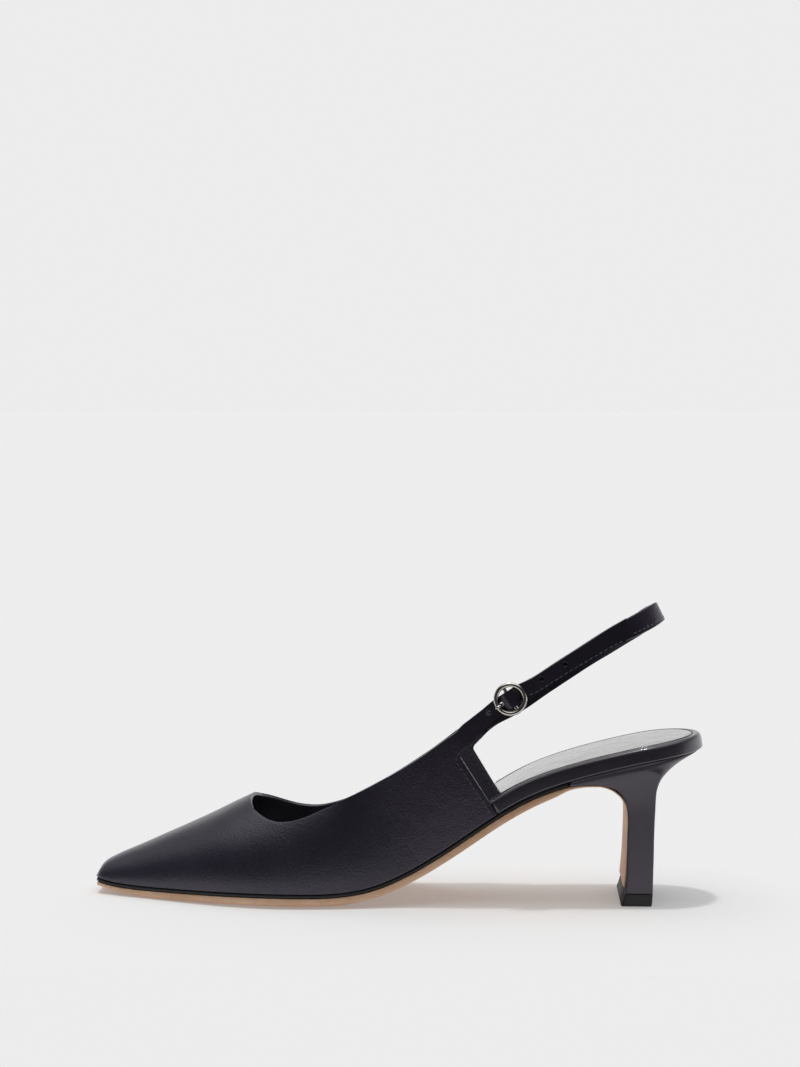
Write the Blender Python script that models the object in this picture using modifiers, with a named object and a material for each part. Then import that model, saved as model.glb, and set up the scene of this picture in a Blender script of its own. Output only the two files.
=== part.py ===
"""Slingback pump, left shoe: toe towards -X, outer (lateral) side towards -Y, ground at Z = 0.

The origin lies in the middle of the heel's ground face. Sizes are in millimetres, and a station is
the distance forward from the back of the seat. Heights called rise are measured square to the
bottom line of the last.
"""

import math

import bmesh
import bpy
import numpy as np
from mathutils import Vector

MM = 0.001

# Driving sizes
LENGTH = 250.0  # back of the seat to the toe
BALL_WIDTH = 72.5
SEAT_WIDTH = 51.0
SEAT_ROUND = 26.0  # station where the rounded back of the seat ends
SEAT_HEIGHT = 62.6  # ground to the back of the seat
INSTEP = 35.0  # rise of the last at the throat
WING_END = 84.0  # station of the lateral wing's back edge
MEDIAL_END = 82.7
SEAT_BACK = 0.5
WING_RISE = 37.4  # top line above the feather at the wings, lateral side
WALL = 1.4
GAP = 0.3
SOLE_EDGE = 3.0
TREAD_CROWN = 1.2  # the tread stands this far below the edge of the sole
MIDSOLE_THICK = 1.3
RIM_THICK = 6.0
FOREPART_THICK = 2.2
SOCK_THICK = 0.8
SOCK_INSET = 3.8
HEEL_BACK = 21.2  # stations of the heel at the ground
HEEL_FRONT = 34.2
HEEL_WIDTH = 40.0
TOP_PIECE = 5.0
TAB_WIDTH = 6.2  # either side of the buckle
TAB_WIDE = 6.9  # inside the ring
STRAP_THICK = 1.4
RING_RADIUS = 5.78
RING_TUBE = 0.92
BAR_RADIUS = 0.75
BAR_DEPTH = 2.2  # the bar sits this far behind the plane of the ring
PRONG_RADIUS = 0.45
HOLE_RADIUS = 0.95
HOLE_PITCH = 10.9

# Derived sizes
STACK = SOLE_EDGE + TREAD_CROWN + MIDSOLE_THICK + 2 * GAP  # ground to the feather at the tread
SOLE_TOP = -(MIDSOLE_THICK + 2 * GAP)  # rise of the sole's upper face
THROAT = 0.7396 * LENGTH  # station of the throat
ORIGIN = (HEEL_BACK + HEEL_FRONT) / 2 + 0.3
LOOP_RADIUS = BAR_RADIUS + 0.2 + 0.7
BUCKLE_ACROSS = -0.393 * BALL_WIDTH

# Bottom line: (station / LENGTH, height over the tread / (SEAT_HEIGHT - STACK))
BOTTOM = (
    (0.0000, 1.0000),
    (0.0800, 0.9487),
    (0.1600, 0.8708),
    (0.2200, 0.7982),
    (0.2800, 0.7009),
    (0.3400, 0.5504),
    (0.4000, 0.3664),
    (0.4600, 0.1965),
    (0.5000, 0.1044),
    (0.5400, 0.0389),
    (0.5800, 0.0088),
    (0.6200, 0.0000),
    (0.7200, 0.0018),
    (0.7800, -0.0035),
    (0.8400, -0.0106),
    (0.9200, -0.0177),
    (0.9600, -0.0124),
    (0.9880, 0.0035),
    (1.0040, 0.0195),
)
# Feather outline: (station / LENGTH, lateral / BALL_WIDTH, medial / BALL_WIDTH)
OUTLINE = (
    (0.104, 0.352, 0.350),
    (0.160, 0.356, 0.346),
    (0.220, 0.353, 0.331),
    (0.280, 0.346, 0.303),
    (0.340, 0.343, 0.287),
    (0.400, 0.345, 0.294),
    (0.460, 0.357, 0.331),
    (0.520, 0.386, 0.397),
    (0.580, 0.422, 0.477),
    (0.632, 0.441, 0.530),
    (0.680, 0.446, 0.554),
    (0.720, 0.432, 0.550),
    (0.760, 0.399, 0.528),
    (0.800, 0.352, 0.494),
    (0.840, 0.292, 0.450),
    (0.880, 0.232, 0.396),
    (0.920, 0.170, 0.337),
    (0.960, 0.106, 0.276),
    (0.9816, 0.068, 0.239),
    (0.9920, 0.045, 0.217),
    (0.9964, 0.026, 0.196),
    (0.9984, -0.005, 0.163),
)
# Last above the feather: (station / LENGTH, ridge across / BALL_WIDTH, ridge rise / INSTEP, squareness)
RIDGE = (
    (0.328, 0.000, 2.386, 0.08),
    (0.400, 0.000, 2.171, 0.12),
    (0.452, 0.007, 2.000, 0.30),
    (0.520, 0.018, 1.771, 0.65),
    (0.600, 0.030, 1.514, 1.00),
    (0.660, 0.041, 1.297, 1.00),
    (0.700, 0.050, 1.137, 1.00),
    (0.738, 0.058, 0.989, 1.00),
    (0.755, 0.062, 0.937, 0.98),
    (0.795, 0.072, 0.794, 0.95),
    (0.835, 0.079, 0.669, 0.93),
    (0.876, 0.083, 0.549, 0.91),
    (0.916, 0.084, 0.431, 0.90),
    (0.936, 0.084, 0.369, 0.90),
    (0.956, 0.084, 0.311, 0.88),
    (0.974, 0.083, 0.246, 0.86),
    (0.9868, 0.081, 0.186, 0.84),
    (0.9932, 0.080, 0.140, 0.82),
    (0.9968, 0.079, 0.091, 0.80),
    (0.9984, 0.077, 0.001, 0.80),
)
# Top line: (station / LENGTH, rise / WING_RISE)
TOPLINE_LATERAL = (
    (0.328, 0.975),
    (0.368, 0.965),
    (0.408, 0.974),
    (0.452, 0.992),
    (0.514, 0.989),
    (0.568, 0.952),
    (0.616, 0.874),
    (0.656, 0.773),
    (0.688, 0.730),
    (0.714, 0.746),
    (0.730, 0.791),
    (0.740, 0.869),
)
TOPLINE_MEDIAL = (
    (0.328, 0.864),
    (0.375, 0.842),
    (0.416, 0.845),
    (0.467, 0.845),
    (0.530, 0.818),
    (0.576, 0.762),
    (0.612, 0.711),
    (0.642, 0.674),
    (0.672, 0.690),
    (0.701, 0.759),
    (0.720, 0.826),
    (0.740, 0.896),
)
# Outward lean of the wings at WING_RISE: (station / LENGTH, lateral mm, medial mm)
LEAN = ((0.328, 1.9, 4.2), (0.40, 1.4, 3.4), (0.47, 0.6, 1.6), (0.56, 0.0, 0.0), (1.0, 0.0, 0.0))
# Thickness of the insole's rim: (station / LENGTH, mm)
RIM = ((0.0, RIM_THICK), (0.28, RIM_THICK), (0.42, 4.6), (0.60, FOREPART_THICK), (1.0, FOREPART_THICK))
# Which top line station each feather station is joined to, both / LENGTH
FAN = ((0.328, 0.328), (0.40, 0.40), (0.48, 0.475), (0.56, 0.545), (0.64, 0.608), (0.72, 0.654),
       (0.80, 0.685), (0.88, 0.708), (0.96, 0.724), (1.0, 0.7315))
# Sole's underside near the toe: (station / LENGTH, rise in mm)
TOE_SKIVE = ((0.90, 0.0), (0.944, 0.6), (0.966, 1.2), (0.99, 1.8))
# Sole: how its edge thins towards the heel, (station, share of SOLE_EDGE)
SOLE_THINNING = ((55.0, 0.62), (61.0, 0.82), (68.0, 0.96), (78.0, 1.0), (LENGTH, 1.0))
# How far the middle of the sole stands below its edge, where the ground allows: (station / LENGTH, mm)
CROWN = (
    (0.24, 0.1), (0.30, 0.15), (0.48, 0.2), (0.552, 0.7), (0.60, 1.7), (0.88, 1.7), (0.96, 0.35), (1.0, 0.3),
)
# Sole's section, underside first: (inset, share of the edge's thickness, share of the crown)
SOLE_LAYERS = (
    (9.0, 1.0, 1.0), (4.5, 1.0, 0.62), (0.5, 1.0, 0.0), (0.0, 0.84, 0.0), (0.0, 0.1, 0.0), (0.25, 0.0, 0.0),
)
# Heel, upwards from the top piece, which the first row rests on:
# (back station, back height / SEAT_HEIGHT, front station, front height / SEAT_HEIGHT, half width, side share,
# roundness)
HEEL = (
    (21.0, 0.000, 32.8, 0.000, 20.0, 0.05, 0.15),
    (20.9, 0.192, 32.3, 0.192, 20.0, 0.05, 0.15),
    (20.7, 0.319, 32.0, 0.319, 20.0, 0.05, 0.15),
    (20.6, 0.447, 31.9, 0.447, 20.1, 0.05, 0.15),
    (20.4, 0.551, 31.7, 0.543, 20.3, 0.05, 0.16),
    (20.2, 0.623, 31.9, 0.612, 20.6, 0.05, 0.20),
    (19.9, 0.690, 32.7, 0.674, 21.1, 0.06, 0.30),
    (19.1, 0.756, 34.2, 0.724, 21.9, 0.09, 0.42),
    (17.1, 0.819, 36.7, 0.762, 22.9, 0.13, 0.60),
    (13.9, 0.871, 40.2, 0.783, 23.8, 0.20, 0.75),
    (10.3, 0.911, 44.5, 0.792, 24.5, 0.32, 0.88),
    (6.3, 0.949, 49.5, 0.792, 25.0, 0.42, 0.96),
    (2.6, 0.981, 55.0, 0.788, 25.3, 0.46, 1.00),
)
SEAT_FRONT = 55.0
FLAP_RECESS = 1.1  # the flap lies this deep in the heel breast
# Sole flap on the heel breast, back face: (station, height / SEAT_HEIGHT, half width, thickness)
FLAP = (
    (55.6, 0.780, 24.6, 1.7),
    (51.0, 0.787, 24.0, 1.2),
    (46.3, 0.788, 23.2, 0.9),
    (41.8, 0.781, 22.0, 0.8),
    (37.4, 0.752, 20.9, 0.8),
    (34.3, 0.711, 19.8, 0.8),
    (32.3, 0.661, 19.0, 0.8),
    (31.4, 0.607, 18.7, 0.8),
    (31.2, 0.527, 18.5, 0.8),
    (31.4, 0.399, 18.4, 0.8),
    (31.8, 0.256, 18.3, 0.8),
    (32.6, 0.120, 18.3, 0.8),
)
# Centre lines of the lateral tab and the medial lip, and the sling from the medial wing round the heel:
# (station, height over the seat, outer face across / BALL_WIDTH, width), with a lean before the sling's width
BUCKLE_AT = (78.9, 21.9)  # station and height over the seat
TAB_BEFORE = ((96.2, 7.6, -0.374, 7.7), (92.4, 11.0, -0.3745, 7.2), (88.6, 14.4, -0.375, 6.6))
TAB_AFTER = (
    (68.6, 27.6, -0.372, TAB_WIDTH),
    (63.8, 30.7, -0.368, TAB_WIDTH),
    (59.1, 33.7, -0.364, 6.3),
    (54.3, 36.7, -0.360, 6.4),
    (49.6, 39.6, -0.354, 6.6),
    (44.8, 42.5, -0.348, 6.9),
    (40.4, 45.2, -0.339, 7.2),
    (36.4, 47.4, -0.331, 7.6),
)
TAB_END = (32.8, 49.1, -0.324, 8.0)
LIP = ((91.9, 4.2, 0.349, 8.4), (86.6, 7.8, 0.343, 7.4), (80.6, 11.0, 0.339, 6.9))
SLING = (
    (90.0, 5.7, 0.316, 0.64, 6.4),
    (84.6, 8.7, 0.314, 0.64, 6.4),
    (79.3, 11.4, 0.316, 0.64, 6.5),
    (73.2, 15.0, 0.321, 0.64, 6.4),
    (66.6, 19.7, 0.326, 0.64, 6.5),
    (56.6, 26.6, 0.330, 0.64, 6.8),
    (46.8, 33.3, 0.328, 0.62, 7.1),
    (39.0, 38.4, 0.314, 0.58, 7.5),
    (32.4, 43.1, 0.281, 0.52, 8.0),
    (26.8, 47.2, 0.226, 0.46, 8.3),
    (21.9, 51.5, 0.146, 0.45, 8.4),
    (18.8, 53.9, 0.069, 0.48, 8.1),
    (18.0, 55.0, -0.014, 0.50, 7.8),
    (18.4, 55.4, -0.094, 0.50, 8.1),
    (20.8, 54.4, -0.166, 0.52, 8.4),
    (24.9, 52.5, -0.226, 0.56, 8.5),
    (29.6, 50.4, -0.273, 0.60, 8.2),
    (34.6, 48.2, -0.301, 0.64, 7.9),
    (40.4, 45.2, -0.316, 0.64, 7.2),
    (49.6, 39.6, -0.331, 0.64, 6.7),
    (59.1, 33.7, -0.341, 0.64, 6.4),
    (68.6, 27.6, -0.348, 0.64, 6.2),
    (73.9, 24.9, -0.352, 0.64, 6.1),
    (78.4, 22.3, -0.352, 0.64, 6.0),
)


def curve(table, column=1, steps=1.0):
    """Smooth curve without overshoot through one column of a table, as a function of its first column."""
    x = np.array([row[0] for row in table], float) * steps
    y = np.array([row[column] for row in table], float)
    h = np.diff(x)
    d = np.diff(y) / h
    m = np.concatenate(([d[0]], np.zeros(len(x) - 2), [d[-1]]))
    for i in range(1, len(x) - 1):
        if d[i - 1] * d[i] > 0:
            a, b = 2 * h[i] + h[i - 1], h[i] + 2 * h[i - 1]
            m[i] = (a + b) / (a / d[i - 1] + b / d[i])

    def value(at):
        at = min(max(at, x[0]), x[-1])
        i = min(int(np.searchsorted(x, at, side="right")) - 1, len(x) - 2)
        t = (at - x[i]) / h[i]
        return (
            (2 * t**3 - 3 * t * t + 1) * y[i]
            + (t**3 - 2 * t * t + t) * h[i] * m[i]
            + (3 * t * t - 2 * t**3) * y[i + 1]
            + (t**3 - t * t) * h[i] * m[i + 1]
        )

    return value


def spline(rows, count):
    """Evenly spaced points on a smooth curve through rows; distances use the first three columns."""
    rows = np.array(rows, float)
    chord = np.concatenate(([0], np.cumsum(np.linalg.norm(np.diff(rows[:, :3], axis=0), axis=1))))
    slope = np.gradient(rows, chord, axis=0)
    out = []
    for at in np.linspace(0, chord[-1], count):
        i = min(int(np.searchsorted(chord, at, side="right")) - 1, len(rows) - 2)
        h = chord[i + 1] - chord[i]
        t = (at - chord[i]) / h
        out.append(
            (2 * t**3 - 3 * t * t + 1) * rows[i]
            + (t**3 - 2 * t * t + t) * h * slope[i]
            + (3 * t * t - 2 * t**3) * rows[i + 1]
            + (t**3 - t * t) * h * slope[i + 1]
        )
    return np.array(out)


bottom_share = curve(BOTTOM, 1, LENGTH)
lateral_share = curve(OUTLINE, 1, LENGTH)
medial_share = curve(OUTLINE, 2, LENGTH)
ridge_across = curve(RIDGE, 1, LENGTH)
ridge_rise = curve(RIDGE, 2, LENGTH)
squareness = curve(RIDGE, 3, LENGTH)
top_lateral = curve(TOPLINE_LATERAL, 1, LENGTH)
top_medial = curve(TOPLINE_MEDIAL, 1, LENGTH)
lean_lateral = curve(LEAN, 1, LENGTH)
lean_medial = curve(LEAN, 2, LENGTH)
skive = curve(TOE_SKIVE, 1, LENGTH)


def bottom(s):
    return STACK + (SEAT_HEIGHT - STACK) * bottom_share(s)


def place(s, rise, across):
    """Point at a rise above the bottom line, in millimetres and in the part's frame."""
    m = bottom(s + 0.5) - bottom(s - 0.5)
    r = math.hypot(1, m)
    return Vector((ORIGIN - (s - m / r * rise), across, bottom(s) + rise / r))


def side_point(s, height, across):
    return Vector((ORIGIN - s, across, height))


def widths(s, inset=0.0):
    """Lateral and medial half widths of the feather; the back of the seat is an ellipse."""
    if s >= SEAT_ROUND:
        return BALL_WIDTH * lateral_share(s) - inset, BALL_WIDTH * medial_share(s) - inset
    k = math.sqrt(max(0.0, 1 - ((SEAT_ROUND - s) / (SEAT_ROUND - SEAT_BACK - inset)) ** 2))
    return (SEAT_WIDTH / 2 - inset) * k, (SEAT_WIDTH / 2 - inset) * k


def last_point(s, phi):
    """Point of the last: phi 0 at the lateral feather, 90 on the ridge, 180 at the medial feather."""
    lateral, medial = widths(s)
    ridge = BALL_WIDTH * ridge_across(s)
    rise = INSTEP * ridge_rise(s) * math.sin(math.radians(phi))
    reach = (lateral + ridge) if phi < 90 else (medial - ridge)
    c = abs(math.cos(math.radians(phi)))
    tuck = 1.2 * 2 * c * math.sin(math.radians(phi)) * min(1.0, reach / 30)
    lean = (lean_lateral(s) if phi < 90 else lean_medial(s)) * rise / WING_RISE
    out = reach * c ** squareness(s) + tuck + lean
    return place(s, rise, ridge - out if phi < 90 else ridge + out)


def phi_at(s, rise):
    return math.degrees(math.asin(min(1.0, rise / (INSTEP * ridge_rise(s)))))


def last_across(s, rise, medial):
    phi = phi_at(s, rise)
    return last_point(s, 180 - phi if medial else phi).y


def new_object(name, points, faces, colour):
    mesh = bpy.data.meshes.new(name)
    mesh.from_pydata([tuple(p * MM) for p in points], [], faces)
    obj = bpy.data.objects.new(name, mesh)
    bpy.data.collections["slingback_pump"].objects.link(obj)
    bm = bmesh.new()
    bm.from_mesh(mesh)
    bmesh.ops.remove_doubles(bm, verts=bm.verts[:], dist=1e-6)
    bmesh.ops.recalc_face_normals(bm, faces=bm.faces[:])
    bm.to_mesh(mesh)
    bm.free()
    paint(obj, colour)
    return obj


def paint(obj, colour, metallic=0.0):
    material = bpy.data.materials.new(obj.name + "_material")
    material.use_nodes = True
    shader = material.node_tree.nodes["Principled BSDF"]
    shader.inputs["Base Color"].default_value = (*colour, 1)
    shader.inputs["Metallic"].default_value = metallic
    shader.inputs["Roughness"].default_value = 0.25 if metallic else 0.4
    obj.data.materials.clear()
    obj.data.materials.append(material)


def stack(loops, across=1):
    """Closed body through equal loops; each end is filled in strips from one half of the loop to the other."""
    count = len(loops[0])
    points = [p for loop in loops for p in loop]
    faces = []
    for k in range(len(loops) - 1):
        a, b = k * count, (k + 1) * count
        faces += [(a + i, a + (i + 1) % count, b + (i + 1) % count, b + i) for i in range(count)]
    for start in (0, (len(loops) - 1) * count):
        for i in range((count - 1) // 2):
            j = count - 1 - i
            inner = (start + i + 1, start + j - 1) if i + 1 < j - 1 else (start + i + 1,)
            faces.append((start + i, *inner, start + j))
    return points, faces


def outline_loop(stations, inset, sides=widths):
    """Outline at the stations, drawn in by inset: lateral side from the toe back, then medial side forward."""
    stations = sorted(stations, reverse=True)
    line = [(s, -sides(s)[0]) for s in stations] + [(s, sides(s)[1]) for s in reversed(stations)]
    line = np.array(line)
    ahead, behind = np.roll(line, -1, axis=0), np.roll(line, 1, axis=0)
    tangent = ahead - behind
    tangent /= np.linalg.norm(tangent, axis=1)[:, None]
    inward = np.stack([tangent[:, 1], -tangent[:, 0]], axis=1)
    centre = np.array([np.mean(line[:, 0]), 0.0])
    if (inward[len(stations) // 2] * (centre - line[len(stations) // 2])).sum() < 0:
        inward = -inward
    return line + inward * inset


def plate(name, stations, layers, colour, sides=widths, at=place):
    """Plate from (inset, rise of s) layers, lowest first."""
    loops = []
    for inset, rise in layers:
        line = outline_loop(stations, inset, sides)
        half = len(line) // 2
        for i in range(half):  # both halves share one station, so the ends stay ruled across
            line[i, 0] = line[-1 - i, 0] = (line[i, 0] + line[-1 - i, 0]) / 2
        loops.append([at(s, rise(s), y) for s, y in line])
    return new_object(name, *stack(loops), colour)


def level(value):
    return lambda s: value


def build_upper():
    tip = OUTLINE[-1][0] * LENGTH
    up = np.linspace(0, 1, 15)
    along = np.linspace(0, 1, 35)
    fan = curve(FAN, 1, LENGTH)

    def feather(end):
        """Stations from a wing's back edge to the toe, closer together towards the toe."""
        return [end + (tip - end) * (1 - (1 - k) ** 1.12) for k in along]

    def column(s, start_phi, end_s, end_phi):
        power = 1 + 0.6 * min(1.0, max(0.0, (s / LENGTH - 0.85) / 0.15))
        return [last_point(s + (end_s - s) * v**power, start_phi + (end_phi - start_phi) * v) for v in up]

    columns = []
    for s in feather(WING_END):
        end = LENGTH * fan(s)
        columns.append(column(s, 0.0, end, phi_at(end, WING_RISE * top_lateral(end))))
    corner = LENGTH * fan(tip)
    low, high = (phi_at(corner, WING_RISE * side(corner)) for side in (top_lateral, top_medial))
    high = 180 - high
    for k in range(1, 9):
        t = k / 9
        phi = low + (high - low) * t
        bow = 1 - abs(2 * t - 1) ** 2.2
        columns.append(column(tip, 180 * t, corner + (THROAT - corner) * bow, phi))
    for s in reversed(feather(MEDIAL_END)):
        end = LENGTH * fan(s)
        columns.append(column(s, 180.0, end, 180 - phi_at(end, WING_RISE * top_medial(end))))

    points = [p for c in columns for p in c]
    step = len(up)
    faces = []
    for c in range(len(columns) - 1):
        a, b = c * step, (c + 1) * step
        faces += [(a + r, b + r, b + r + 1, a + r + 1) for r in range(step - 1)]

    def extend(root, strip_rows, centres, turn):
        first = [root * step + r for r in strip_rows]
        for s, z, y, width in centres:
            new = []
            upright = (s, z, y, width) == TAB_END
            for i in range(len(strip_rows)):
                d = (i / (len(strip_rows) - 1) - 0.5) * width
                new.append(len(points))
                across = y(d) if callable(y) else BALL_WIDTH * y
                side = Vector((0.0, 0.0, 1 / WIDE.z)) if upright else WIDE
                points.append(side_point(s, SEAT_HEIGHT + z, across) + side * d)
            for i in range(len(new) - 1):
                quad = (first[i], first[i + 1], new[i + 1], new[i])
                faces.append(quad if turn else quad[::-1])
            first = new

    buckle = []
    for t in np.linspace(-6.2, 6.2, 15):
        s, z = BUCKLE_AT[0] - t * ALONG.x, BUCKLE_AT[1] + t * ALONG.z
        width = TAB_WIDE if abs(t) < 4.0 else TAB_WIDTH
        buckle.append((s, z, lambda w, t=t: BUCKLE_ACROSS - tab_lift(t, w), width))
    extend(0, range(11, step), TAB_BEFORE + tuple(buckle) + TAB_AFTER + (TAB_END,), False)
    extend(len(columns) - 1, range(10, step), LIP, True)

    obj = new_object("upper", points, faces, (0.02, 0.02, 0.024))
    over_toes = Vector((ORIGIN - 0.86 * LENGTH, 5.0)) * MM
    top = min(obj.data.polygons, key=lambda f: (f.center.xy - over_toes).length)
    if top.normal.z < 0:
        obj.data.flip_normals()
    shell = obj.modifiers.new("wall", "SOLIDIFY")
    shell.thickness = WALL * MM
    shell.offset = -1
    shell.use_even_offset = True
    for k, (t, radius) in enumerate(hole_places()):
        at = ring_centre() + ALONG * t
        cut(obj, cylinder_between(at + Vector((0, -5, 0)), at + Vector((0, 5, 0)), radius, 20, f"hole_{k}"))
    return obj


ALONG = Vector((0.842, 0.0, 0.5394)).normalized()  # along the tab, towards the heel
WIDE = Vector((-0.5394, 0.0, 0.842)).normalized()  # across the tab, upwards
OUT = Vector((0.0, -1.0, 0.0))


def tab_lift(t, w):
    """How far the tab's outer face stands in front of the buckle's plane, t along and w across the tab."""
    under = -(RING_TUBE + 0.2)
    over = -BAR_DEPTH + LOOP_RADIUS + 0.2 + WALL
    end = math.sqrt((RING_RADIUS - 0.58) ** 2 - w * w)  # inside the ring, which is round
    x = min(1.0, max(0.0, (abs(t) - 0.8) / (end - 0.8)))
    return over + (under - over) * (3 * x * x - 2 * x**3)


def hole_places():
    """Distance of each hole from the bar along the tab, and its radius; the prong goes through the second."""
    return ((-10.3, HOLE_RADIUS), (-3.8, 0.9), (14.9, HOLE_RADIUS), (14.9 + HOLE_PITCH, HOLE_RADIUS))


def cylinder_between(a, b, radius, sides, name):
    """Capped cylinder as a helper object in the cutters' collection."""
    bm = bmesh.new()
    bmesh.ops.create_cone(
        bm, cap_ends=True, segments=sides, radius1=radius * MM, radius2=radius * MM, depth=(b - a).length * MM
    )
    mesh = bpy.data.meshes.new(name)
    bm.to_mesh(mesh)
    bm.free()
    obj = bpy.data.objects.new(name, mesh)
    obj.location = (a + b) / 2 * MM
    obj.rotation_euler = (b - a).to_track_quat("Z", "Y").to_euler()
    helper(obj)
    return obj


def box_at(centre, axes, sizes, name):
    bm = bmesh.new()
    bmesh.ops.create_cube(bm, size=1.0)
    for v in bm.verts:
        v.co = (centre + sum((axes[k] * (v.co[k] * sizes[k]) for k in range(3)), Vector())) * MM
    bmesh.ops.recalc_face_normals(bm, faces=bm.faces[:])
    mesh = bpy.data.meshes.new(name)
    bm.to_mesh(mesh)
    bm.free()
    obj = bpy.data.objects.new(name, mesh)
    helper(obj)
    return obj


def helper(obj):
    bpy.data.collections["cutters"].objects.link(obj)
    obj.hide_render = True
    obj.display_type = "WIRE"


def cut(obj, other, operation="DIFFERENCE"):
    modifier = obj.modifiers.new(other.name, "BOOLEAN")
    modifier.operation = operation
    modifier.object = other
    modifier.solver = "EXACT"


def build_bottom():
    dense_back = [SEAT_ROUND * k for k in (0.023, 0.038, 0.07, 0.115, 0.18, 0.285, 0.41, 0.54, 0.71, 0.885)]
    rear = dense_back + list(np.linspace(SEAT_ROUND + 2, MEDIAL_END - 5.7, 8)) + [MEDIAL_END - GAP]
    inside_top = FOREPART_THICK + 0.2

    def toe_sides(s):
        """Room inside the shell; close to the toe the lateral side crosses the middle line."""
        clear = WALL + GAP + 0.15
        rise = min(inside_top, 0.6 * INSTEP * ridge_rise(s))
        lateral = -max(last_across(s, 0.0, False), last_across(s, rise, False))
        medial = min(last_across(s, 0.0, True), last_across(s, rise, True))
        return lateral - clear, medial - clear

    def sides(s):
        ends = (WING_END - GAP, MEDIAL_END - GAP)
        return tuple(full if s <= end + 0.01 else fit for full, fit, end in zip(widths(s), toe_sides(s), ends))

    front = [MEDIAL_END - GAP / 2, WING_END - GAP, WING_END - GAP / 2]
    front += list(np.linspace(WING_END + 6, 0.936 * LENGTH, 19))
    front += [LENGTH * k for k in (0.956, 0.9696, 0.9784)]
    thick = curve(RIM, 1, LENGTH)
    plate(
        "insole",
        rear + front,
        (
            (0.35, level(0.0)),
            (0.0, level(0.4)),
            (0.0, lambda s: 0.62 * thick(s)),
            (0.25, lambda s: 0.82 * thick(s)),
            (0.9, lambda s: 0.95 * thick(s)),
            (1.9, thick),
            (3.1, lambda s: thick(s) - 0.1),
            (3.4, lambda s: thick(s) - SOCK_THICK - 0.15),
        ),
        (0.02, 0.02, 0.024),
        sides,
    )
    sock_back = [SEAT_BACK + SOCK_INSET + k for k in (0.1, 0.4, 1.1, 2.3, 4.1, 6.5, 9.7, 14.2, 18.7)]
    sock_stations = sock_back + [s for s in rear + front if SEAT_ROUND < s < 0.944 * LENGTH]
    plate(
        "sock",
        sock_stations,
        (
            (0.25, lambda s: thick(s) - SOCK_THICK - 0.15 + GAP),
            (0.0, lambda s: thick(s) - SOCK_THICK + GAP + 0.05),
            (0.0, lambda s: thick(s) - 0.1),
            (0.35, lambda s: thick(s) + 0.05),
        ),
        (0.03, 0.03, 0.035),
        lambda s: sock_sides(s, toe_sides),
    )
    fore = [SEAT_FRONT + GAP + 0.4] + list(np.linspace(SEAT_FRONT + 7, 0.952 * LENGTH, 23))
    fore += [LENGTH * k for k in (0.97, 0.984, 0.992, 0.9964)]
    plate(
        "midsole",
        fore,
        ((0.25, level(-GAP - MIDSOLE_THICK)), (0.25, level(-GAP))),
        (0.015, 0.015, 0.018),
    )


def sock_sides(s, inside):
    """Half widths of the sock; inside gives the room between the wings."""
    full = widths(s, SOCK_INSET)
    k = min(1.0, max(0.0, (s - MEDIAL_END + 16) / 16))
    return tuple(a + (b - SOCK_INSET - a) * k for a, b in zip(full, inside(s))) if k else full


def sole_path():
    """Rows of x, z, two half widths and edge thickness along the sole's upper face, toe to flap."""
    thinning = curve(SOLE_THINNING)
    stations = [LENGTH * k for k in (0.992, 0.9872, 0.976, 0.96)]
    stations += list(np.linspace(0.928 * LENGTH, SEAT_FRONT + 17, 21)) + [SEAT_FRONT + 11, SEAT_FRONT + 6]
    path = []
    for s in stations:
        at = place(s, SOLE_TOP, 0.0)
        lateral, medial = widths(s)
        path.append((at.x, at.z, lateral, medial, SOLE_EDGE * thinning(s) - skive(s)))
    for s, z, half, thin in FLAP:
        path.append((ORIGIN - s, SEAT_HEIGHT * z, half, half, thin))
    return np.array(path)


def build_outsole():
    """Sole along the bottom line, then down the heel breast, with a tread that stands on the ground."""
    path = sole_path()
    tangent = np.gradient(path[:, :2], axis=0)
    tangent /= np.linalg.norm(tangent, axis=1)[:, None]
    crown = curve(CROWN, 1, LENGTH)
    loops = []
    for inset, share, bulge in SOLE_LAYERS:
        halves = ([], [])
        for (x, z, lateral, medial, thin), (tx, tz) in zip(path, tangent):
            s = ORIGIN - x
            fall = min(crown(s), z - thin) if s > FLAP[0][0] else 0.0
            grounded = bulge == 1.0 and fall == z - thin
            drop = thin * share + fall * bulge
            for side, half in enumerate((lateral, medial)):
                width = half - 0.2 - min(inset, 0.45 * half)
                across = (-1, 1)[side] * width
                foot = Vector((x, across, 0.0))
                halves[side].append(foot if grounded else Vector((x + tz * drop, across, z - tx * drop)))
        loops.append(halves[0] + halves[1][::-1])
    return new_object("outsole", *stack(loops), (0.52, 0.33, 0.19))


def heel_loop(back, front, half, share, roundness, recess=0.0, seat=False):
    """Loop from the lateral front corner round the back to the medial front corner."""
    (sb, zb), (sf, zf) = back, front
    loop = []
    angles = [math.radians(a) for a in np.linspace(-90, 90, 21)]
    sides = np.linspace(1.0, 0.0, 5)[:-1]

    def point(a, y):
        s = sb + (sf - sb) * a
        z = zb + (zf - zb) * a
        limit = half
        if s > SEAT_ROUND:
            limit = min(half, (BALL_WIDTH * (lateral_share(s) if y < 0 else medial_share(s))) - 0.3)
        if seat:
            p = place(s, -GAP, y * limit)
            return p
        return side_point(s, z, y * limit)

    edge = 0.02
    for k in sides:
        loop.append(point(share + (1 - edge - share) * k, -1.0))
    for angle in angles:
        y = math.sin(angle)
        a = share * ((1 - roundness) * y * y + roundness * (1 - math.cos(angle)))
        loop.append(point(a, y))
    for k in reversed(sides):
        loop.append(point(share + (1 - edge - share) * k, 1.0))
    deep = 1.0 - recess / (sf - sb)
    lip = 0.955 if recess else 0.9
    return [point(deep, -lip + 0.01), point(1.0, -lip)] + loop + [point(1.0, lip), point(deep, lip - 0.01)]


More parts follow.
